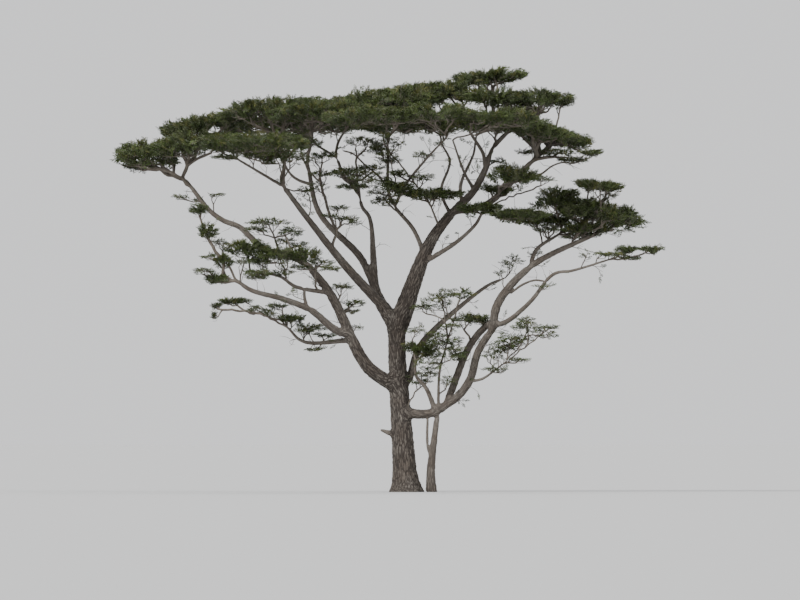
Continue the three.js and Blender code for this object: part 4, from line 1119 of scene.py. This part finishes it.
class Wood:
    # a mass's twigs as points, each with the point before it and the wood's run up to it

    def __init__(self, shape, fromShare, kind):
        room = growth["room"]
        self.kind = kind
        self.place = np.zeros((room, 3))
        self.heading = np.zeros((room, 3))
        self.run = np.zeros(room)
        self.before = np.full(room, -1)
        self.load = np.zeros(room)
        first = int(fromShare * (len(shape["places"]) - 1))
        self.count = self.roots = len(shape["places"]) - first
        self.place[:self.count] = shape["places"][first:]
        self.heading[:self.count] = shape["headings"][first:]
        self.run[:self.count] = shape["run"][first:] - shape["run"][first]
        self.rootRadius = shape["radii"][first:]

    def add(self, place, before):
        step = place - self.place[before]
        length = lengths(step)
        index = self.count
        self.place[index], self.heading[index] = place, step / max(length, tiny)
        self.run[index] = self.run[before] + length
        self.before[index] = before
        self.count += 1
        return index

    def addShoot(self, foot, heading, size, before):
        tip = self.add(foot + heading * size * shoots["twigShare"], before)
        self.load[tip] = size / shoots["fullLoad"]

    def nearest(self, goal, first):
        return first + int(lengths(self.place[first:self.count] - goal).argmin())

    def best(self, goal):
        # the point that costs a twig to the goal the least, in length, detour and turning back
        gap = goal - self.place[:self.count]
        apart = lengths(gap)
        ahead = (gap * self.heading[:self.count]).sum(1) / (apart + tiny)
        cost = apart * (1 + growth["turnCost"] * (1 - ahead)) + growth["runCost"] * self.run[:self.count]
        cost[:self.roots - 1] += growth["sideCost"]
        return int(cost.argmin())

    def reach(self, start, goal, random, arrive=None):
        # a bending twig from one of the points to the goal, which it comes to in the given heading
        foot, leave = self.place[start], self.heading[start]
        apart = lengths(goal - foot)
        count = max(1, round(apart / growth["step"]))
        straight = (goal - foot) / max(apart, tiny)
        handle = growth["handle"] * apart
        first = foot + blend(straight, leave, growth["leaveShare"]) * handle
        second = goal - blend(straight, arrive, growth["arriveShare"]) * handle
        for index in range(1, count + 1):
            t = index / count
            place = ((1 - t) ** 3 * foot + 3 * (1 - t) ** 2 * t * first
                     + 3 * (1 - t) * t * t * second + t ** 3 * goal)
            if index < count:
                place = place + random.normal(0, growth["wander"] * min(apart, 1), 3)
            start = self.add(place, start)
        return start


def blend(straight, heading, share):
    return straight if heading is None else heading * share + straight * (1 - share)


def padParts(middle, half, kind=light, slope=0.0):
    return np.array(middle, float), np.array(half, float), kind, slope


def turned(share, angle):
    return np.stack([share * np.cos(angle), share * np.sin(angle)], axis=1)


def discPlaces(count, random):
    # shares of the radius and angles of places spread evenly over a disc with a wavy rim
    index = np.arange(count) + 0.5
    angle = index * math.pi * (3 - math.sqrt(5)) + random.uniform(0, 2 * math.pi)     # golden angles
    waves = sum(np.sin(wave * angle + random.uniform(0, anyTurn)) for wave in shoots["waveCounts"])
    rim = 1 + shoots["rimWaves"] * (waves / len(shoots["waveCounts"]))
    share = (index / count) ** 0.5 * rim + random.normal(0, shoots["jitter"], count)
    return np.clip(np.abs(share), 0, shoots["furthest"]), angle


def padTufts(flat, half, random):
    # the tufts that a pad's shoots gather in: how many, each shoot's own, and its way from there
    count = max(1, round(math.pi * half[0] * half[1] / shoots["tuftArea"]))
    middles = turned(*discPlaces(count, random)) * half[:2]
    middles += random.normal(0, shoots["tuftStray"], middles.shape)
    own = lengths(flat[:, None] - middles[None]).argmin(1)
    return count, own, flat - middles[own]


def shootSizes(kind, half, share, random):
    atMiddle, more = shoots["rimGrowth"]
    size = random.uniform(*shoots["lengths"][kind], len(share)) * (atMiddle + more * share)
    least, more = shoots["padGrowth"]
    return np.minimum(np.minimum(size, shoots["longest"]), more * half[:2].mean() + least)


def padShoots(pad, random):
    # where a pad's leafy shoots start, which way they point, how long they are and how high up
    middle, half, kind, slope = padParts(*pad)
    bonus = 1 + shoots["smallPadBonus"] / math.sqrt(half[0] * half[1])
    wanted = math.pi * half[0] * half[1] * shoots["perSquareMetre"][kind] * bonus
    count = max(shoots["fewest"][kind], round(wanted))
    share, angle = discPlaces(count, random)
    flat = turned(share, angle) * half[:2]
    tufts, own, away = padTufts(flat, half, random)
    if tufts >= shoots["fewestTufts"]:
        flat -= away * shoots["tuftPull"]
    dome = np.sqrt(np.clip(1 - shoots["domeFall"] * np.minimum(share, 1) ** 2, 0, 1))
    rise = random.uniform(0, 1, count) ** shoots["crowding"]
    level = dome * (shoots["bottom"] + (shoots["top"] - shoots["bottom"]) * rise)
    level += random.uniform(*shoots["tuftLevels"], tufts)[own] * shoots["tuftRise"]
    ends = middle + np.column_stack([flat, half[2] * level])
    ends[:, 2] += slope * (ends[:, 0] - middle[0])
    least, more = shoots["outward"]
    outward = turned(least + more * share, angle) + away * shoots["fromTuft"]
    upward = shoots["leastLift"] + shoots["middleLift"] * rise * (shoots["liftReach"] - share)
    upward = shoots["lift"][kind] * (upward + shoots["topLift"] * (level > 0))
    heading = np.column_stack([outward, upward])
    heading = unit(heading + random.normal(0, shoots["stray"], (count, 3)))
    size = shootSizes(kind, half, share, random)
    return ends - heading * size[:, None] * shoots["back"][kind], heading, size, rise


def inCrownGap(places):
    inside = np.zeros(len(places), bool)
    for x, z, wide, high in crownGaps:
        inside |= ((places[:, 0] - x) / wide) ** 2 + ((places[:, 2] - z) / high) ** 2 < 1
    return inside


def growHubs(wood, pad, random):
    # the first twigs of a pad, spread round its lower side
    middle, half, kind, slope = padParts(*pad)
    turn = random.uniform(0, anyTurn)
    hubs = growth["hubs"][kind]
    for hub in range(hubs):
        angle = turn + 2 * math.pi * hub / hubs + random.normal(0, growth["hubTurn"])
        share = growth["hubReach"] * random.uniform(*growth["hubSpread"])
        place = middle + half * (share * math.cos(angle), share * math.sin(angle), -growth["hubDepth"])
        place[2] += slope * (place[0] - middle[0])
        wood.reach(wood.best(place), place, random)


def growShoots(wood, pads, random):
    # leafy shoots on the wood that stands so far, clear of limbs and of the crown's gaps
    feet, headings, sizes, rises = (
        np.concatenate(part) for part in zip(*(padShoots(pad, random) for pad in pads)))
    tips = feet + headings * sizes[:, None]
    gaps = nearestLimbs(np.vstack([feet, tips]))[0]["gap"].reshape(2, -1)
    free = (gaps > shoots["clearOfLimbs"]).all(0) & ~inCrownGap((feet + tips) / 2) & ~inCrownGap(tips)
    feet, headings, sizes, rises = (part[free] for part in (feet, headings, sizes, rises))
    for index in lengths(feet - wood.place[wood.roots - 1]).argsort():
        foot, heading, size = feet[index], headings[index], sizes[index]
        end = wood.reach(wood.best(foot), foot, random, heading)
        wood.addShoot(foot, heading, size, end)
    return feet, headings, sizes, rises


def growMass(mass, random):
    # a stem straight on from the bough's tip, a carrying twig to each pad, and the rest from those
    wood = Wood(limbShapes[mass["on"]], growth["boughShare"], "mass")
    tip = wood.roots - 1
    stem = wood.add(wood.place[tip] + wood.heading[tip] * growth["stemLength"], tip)
    for pad in mass["pads"]:
        middle, half = padParts(*pad)[:2]
        heart = middle - (0, 0, growth["heartDepth"] * half[2])
        start = wood.nearest(heart, stem)
        bend = wood.place[start] * (1 - growth["bendAt"]) + heart * growth["bendAt"]
        bend[2] -= growth["sag"] * lengths(heart - wood.place[start])
        wood.reach(wood.reach(start, bend, random), heart, random)
        growHubs(wood, pad, random)
    return wood, [growShoots(wood, mass["pads"], random)]


def growSpur(wood, root, leafy, random):
    # a short twig out of the limb with a few finer ones round its end
    ahead = wood.heading[root]
    out = random.normal(0, 1, 3)
    out -= ahead * (out @ ahead)
    out = unit(out) + ahead * spurs["forward"] + (0, 0, spurs["rise"])
    length = random.uniform(*spurs["length"]) + wood.rootRadius[root]
    goal = wood.place[root] + unit(out) * length
    wood.load[wood.reach(root, goal, random)] += spurs["load"]
    isLeafy = random.uniform() < spurs["leafyShare"]
    for _ in range(random.integers(*spurs["ends"])):
        foot = goal + random.normal(0, spurs["spread"], 3)
        if nearestLimbs(foot[None])[0]["gap"][0] < shoots["clearOfLimbs"]:
            continue
        end = wood.reach(wood.best(foot), foot, random)
        heading = unit(wood.heading[end] + random.normal(0, spurs["stray"], 3))
        size = random.uniform(*shoots["lengths"][light])
        wood.addShoot(foot, heading, size, end)
        if isLeafy:
            leafy.append((foot, heading, size, random.uniform()))


def growSides(name, random):
    # a limb's own sprigs, and short spurs all along it, some of them bare
    wood = Wood(limbShapes[name], 0, "side")
    for pad in sprigs.get(name, []):
        growHubs(wood, pad, random)
    grown = [growShoots(wood, sprigs[name], random)] if name in sprigs else []
    leafy = []
    low, high = (share * wood.run[wood.roots - 1] for share in spurs["span"])
    for run in np.arange(low, high, spurs["spacing"]) + random.uniform(0, spurs["spacing"]):
        root = int(np.searchsorted(wood.run[:wood.roots], run))
        if root < wood.roots and wood.rootRadius[root] <= spurs["stoutest"]:
            growSpur(wood, root, leafy, random)
    if leafy:
        grown.append([np.array(part) for part in zip(*leafy)])
    return wood, grown


# Twigs: the wood's points as tapering tubes

twigs = {
    "pipe": {"mass": 0.0062, "side": 0.0085},    # radius of a twig that bears one full shoot
    "leastRadius": 0.005, "tipRadius": 0.0018, "tipLoad": 0.41,
    "stemShare": 1.02, "sideShare": 0.55,        # stoutest twig, as a share of its limb's radius
    "collar": 1.15, "rootSteps": (-4, -2), "rootShares": (0.7, 0.95), "sides": 3,
}


def twigRadii(wood):
    # the load of shoots beyond each point, and the radius that bears it
    count, roots = wood.count, wood.roots
    before, ownLoad = wood.before[:count], wood.load[:count]
    load = ownLoad.copy()
    root = np.arange(count)
    for index in range(roots, count):
        root[index] = root[before[index]]
    for index in range(count - 1, roots - 1, -1):
        load[before[index]] += load[index]
    radius = np.maximum(twigs["pipe"][wood.kind] * np.sqrt(load), twigs["leastRadius"])
    radius[ownLoad > twigs["tipLoad"]] = twigs["tipRadius"]
    most = np.where(root == roots - 1, twigs["stemShare"], twigs["sideShare"])
    return load, np.minimum(radius, wood.rootRadius[root] * most)


def heirsOf(wood, load):
    # the point that carries on the line of each point: the one with the greatest load
    heir = np.full(wood.count, -1)
    for index in range(wood.roots, wood.count):
        parent = wood.before[index]
        if heir[parent] < 0 or load[index] > load[heir[parent]]:
            heir[parent] = index
    return heir


def twigLines(wood):
    # parts the wood into lines that run on along the stoutest way, with a radius at each point
    load, radius = twigRadii(wood)
    heir = heirsOf(wood, load)
    tip = wood.roots - 1
    places, radii, edges = [], [], []
    for index in range(wood.roots, wood.count):
        parent = wood.before[index]
        if heir[parent] == index and parent > tip:
            continue
        line = [parent, index]
        while heir[line[-1]] >= 0:
            line.append(heir[line[-1]])
        own = radius[line]
        own[0] = min(own[0], own[1] * twigs["collar"])
        if parent == tip and heir[parent] == index:
            inside = [wood.roots + step for step in twigs["rootSteps"]]
            line = inside + line
            own = np.concatenate([wood.rootRadius[inside] * twigs["rootShares"], own])
        start = len(places)
        places += list(wood.place[line])
        radii += list(own)
        edges += [(start + step, start + step + 1) for step in range(len(line) - 1)]
    return places, radii, edges


def twigNodes():
    group, given, result = nodeGroup("GeometryNodeTree", "twigTubes", {
        "Geometry": ("Geometry", None), "Sides": ("Int", twigs["sides"]), "Bark": ("Material", None),
    }, {"Geometry": "Geometry"})
    lines = node(group, "GeometryNodeMeshToCurve", {"Mesh": given["Geometry"]}).outputs[0]
    ring = node(group, "GeometryNodeCurvePrimitiveCircle", {"Resolution": given["Sides"], "Radius": 1.0})
    tubes = node(group, "GeometryNodeCurveToMesh", {
        "Curve": lines, "Profile Curve": ring.outputs[0], "Scale": readAttribute(group, "twigRadius"),
        "Fill Caps": True}).outputs[0]
    smooth = node(group, "GeometryNodeSetShadeSmooth", {0: tubes}).outputs[0]
    return endTree(group, result, smooth, given["Bark"])


# A leafy shoot lies along +X from its foot, with pairs of slim leaflets to its sides like a feather

spray = {
    "variants": 6, "seed": 70, "pairs": 13, "length": 0.38, "span": (0.03, 0.95), "stagger": (0.2, 0.8),
    "leaflet": 0.128, "unevenLength": 0.14, "slimness": 0.23, "widestAt": 0.46,
    "outline": {"foot": 0.62, "bulge": 0.38, "bulgeStart": 0.15, "tipLoss": 0.3, "tipPower": 4},
    "lean": (1.2, 0.5), "unevenLean": 0.12, "turn": 0.42, "tilt": 0.5, "lift": 0.1, "roll": 0.7,
}


def leafletLength(share, random):
    # by how far along the shoot the leaflet sits
    outline = spray["outline"]
    bulge = outline["bulge"] * math.sin(math.pi * min(1, outline["bulgeStart"] + share))
    length = outline["foot"] + bulge - outline["tipLoss"] * share ** outline["tipPower"]
    return spray["leaflet"] * length * (1 + random.normal(0, spray["unevenLength"]))


def sprayMesh(name, random):
    places, faces = [], []
    forward = np.array([1.0, 0, 0])
    bare, leafy = spray["span"]
    for index in range(spray["pairs"]):
        share = (index + random.uniform(*spray["stagger"])) / spray["pairs"]
        foot = forward * (spray["length"] * (bare + leafy * share))
        for way in (0, math.pi):
            angle = way + random.normal(0, spray["turn"])
            atFoot, atTip = spray["lean"]
            lean = atFoot + (atTip - atFoot) * share + random.normal(0, spray["unevenLean"])
            length = leafletLength(share, random)
            out = np.array([0, math.cos(angle), math.sin(angle)])
            aim = forward * math.cos(lean) + out * math.sin(lean)
            up = np.cross(forward, out)
            side = np.cross(aim, up)
            tilt = random.normal(0, spray["tilt"])
            side, up = (side * math.cos(tilt) + up * math.sin(tilt),
                        up * math.cos(tilt) - side * math.sin(tilt))
            across = side * spray["slimness"] * length / 2
            waist = foot + aim * length * spray["widestAt"] + up * spray["lift"] * length
            start = len(places)
            places += [foot, waist - across, foot + aim * length, waist + across]
            faces.append([start, start + 1, start + 2, start + 3])
    mesh = bpy.data.meshes.new(name)
    mesh.from_pydata(np.array(places).tolist(), [], faces)
    return bpy.data.objects.new(name, mesh)


def sprayCollection():
    sprays = bpy.data.collections.new("sprays")
    random = np.random.default_rng(spray["seed"])
    for index in range(spray["variants"]):
        sprays.objects.link(sprayMesh(f"spray{index}", random))
    return sprays


def sprayNodes():
    tints = [f"Tint {index + 1}" for index in range(len(leafMaterials))]
    group, given, result = nodeGroup("GeometryNodeTree", "leafSprays", {
        "Geometry": ("Geometry", None), "Sprays": ("Collection", None), "Leaf Size": ("Float", 1.0),
        **{name: ("Material", None) for name in tints},
    }, {"Geometry": "Geometry"})
    turn = readAttribute(group, "turn", "FLOAT_VECTOR")
    turn = node(group, "FunctionNodeEulerToRotation", {0: turn}).outputs[0]
    kinds = node(group, "GeometryNodeCollectionInfo", {
        "Collection": given["Sprays"], "Separate Children": True, "Reset Children": True}).outputs[0]
    points = node(group, "GeometryNodeMeshToPoints", {"Mesh": given["Geometry"]}).outputs[0]
    size = maths(group, "MULTIPLY", readAttribute(group, "size"), given["Leaf Size"])
    placed = node(group, "GeometryNodeInstanceOnPoints", {
        "Points": points, "Instance": kinds, "Pick Instance": True,
        "Instance Index": readAttribute(group, "kind", "INT"), "Rotation": turn,
        "Scale": vectorOf(group, size, size, size)}).outputs[0]
    dressed = node(group, "GeometryNodeRealizeInstances", {0: placed}).outputs[0]
    tint = readAttribute(group, "tint", "INT")
    for index, name in enumerate(tints):
        isTint = node(group, "FunctionNodeCompare", {2: tint, 3: index},
                      data_type="INT", operation="EQUAL").outputs[0]
        values = {0: dressed, "Selection": isTint, "Material": given[name]}
        dressed = node(group, "GeometryNodeSetMaterial", values).outputs[0]
    group.links.new(dressed, result["Geometry"])
    return group


# Which masses and limbs go into which leaf and twig pieces

leafPieces = {
    "farLeftLeaves": ["left_tip", "left_clump", "left_inner", "left_mid", "left_low"],
    "leftLeaves": ["left_high", "left_outer", "left_crossing"],
    "backLeaves": ["left_back", "centre_back", "right_back"],
    "frontLeaves": ["centre_front", "right_front"],
    "centreLeaves": ["centre_left", "centre", "high_left", "mid"],
    "highLeaves": ["top", "right_high", "mid_right"],
    "rightLeaves": ["right_great", "right_inner", "right_outer", "inner_right", "crossing", "elbow",
                    "right_low"],
}
sideLeaves = {
    "leftBoughBark": "farLeftLeaves", "centreBoughBark": "leftLeaves", "highBoughBark": "highLeaves",
    "rightBoughBark": "rightLeaves",
}
twigPieces = {
    "leftTwigs": ["farLeftLeaves", "leftLeaves"],
    "middleTwigs": ["backLeaves", "frontLeaves", "centreLeaves"],
    "rightTwigs": ["highLeaves", "rightLeaves"],
}


def makeLeaves(name, grown, nodes, sprays, tree, random):
    feet, headings, sizes, rises = (np.concatenate(part) for part in zip(*grown))
    count = len(feet)
    # painted light and shade: shoots low in a pad rank darker and high ones lighter, over a random tone;
    # the darkest take the first tint
    shadeAndTone = 1 - leafFinish["paintedLightOnTop"] * rises + random.normal(0, leafFinish["tintSpread"], count)
    rank = shadeAndTone.argsort()[::-1].argsort() / count
    made = meshObject(name, feet)
    turns = np.stack([random.normal(0, spray["roll"], count), -np.arcsin(np.clip(headings[:, 2], -1, 1)),
                      np.arctan2(headings[:, 1], headings[:, 0])], axis=1)
    store(made.data, "turn", "FLOAT_VECTOR", turns)
    store(made.data, "size", "FLOAT", sizes / spray["length"])
    store(made.data, "kind", "INT", random.integers(0, spray["variants"], count))
    store(made.data, "tint", "INT", np.searchsorted(np.cumsum(leafFinish["mix"])[:-1], rank))
    materials = {f"Tint {index + 1}": material for index, material in enumerate(leafMaterials)}
    runNodes(made, tree, {"Sprays": sprays, **materials})
    finishPiece(made, nodes)
    return count


def makeTwigs(name, woods, nodes, tree):
    places, radii, edges = [], [], []
    for wood in woods:
        linePlaces, lineRadii, lineEdges = twigLines(wood)
        edges += [(a + len(places), b + len(places)) for a, b in lineEdges]
        places += linePlaces
        radii += lineRadii
    made = meshObject(name, places, (), edges)
    store(made.data, "twigRadius", "FLOAT", radii)
    runNodes(made, tree, {"Bark": twigMaterial})
    finishPiece(made, nodes)


def makeFoliage():
    random = np.random.default_rng(growth["seed"])
    nodes = {piece: [f"{mass}_foliage" for mass in members] for piece, members in leafPieces.items()}
    grown = {piece: [] for piece in leafPieces}
    woods = {piece: [] for piece in leafPieces}

    def keep(piece, wood, leafy):
        woods[piece].append(wood)
        grown[piece] += leafy

    for piece, members in leafPieces.items():
        for mass in members:
            keep(piece, *growMass(masses[mass], random))
    for barkPiece, piece in sideLeaves.items():
        for name in limbsOf(barkPiece):
            keep(piece, *growSides(name, random))
    sprays, leafTree, twigTree = sprayCollection(), sprayNodes(), twigNodes()
    total = sum(makeLeaves(piece, grown[piece], nodes[piece], sprays, leafTree, random)
                for piece in leafPieces)
    for name, members in twigPieces.items():
        makeTwigs(name, [wood for piece in members for wood in woods[piece]],
                  [mass for piece in members for mass in nodes[piece]], twigTree)
    print(total, "sprays in all")


makeFoliage()
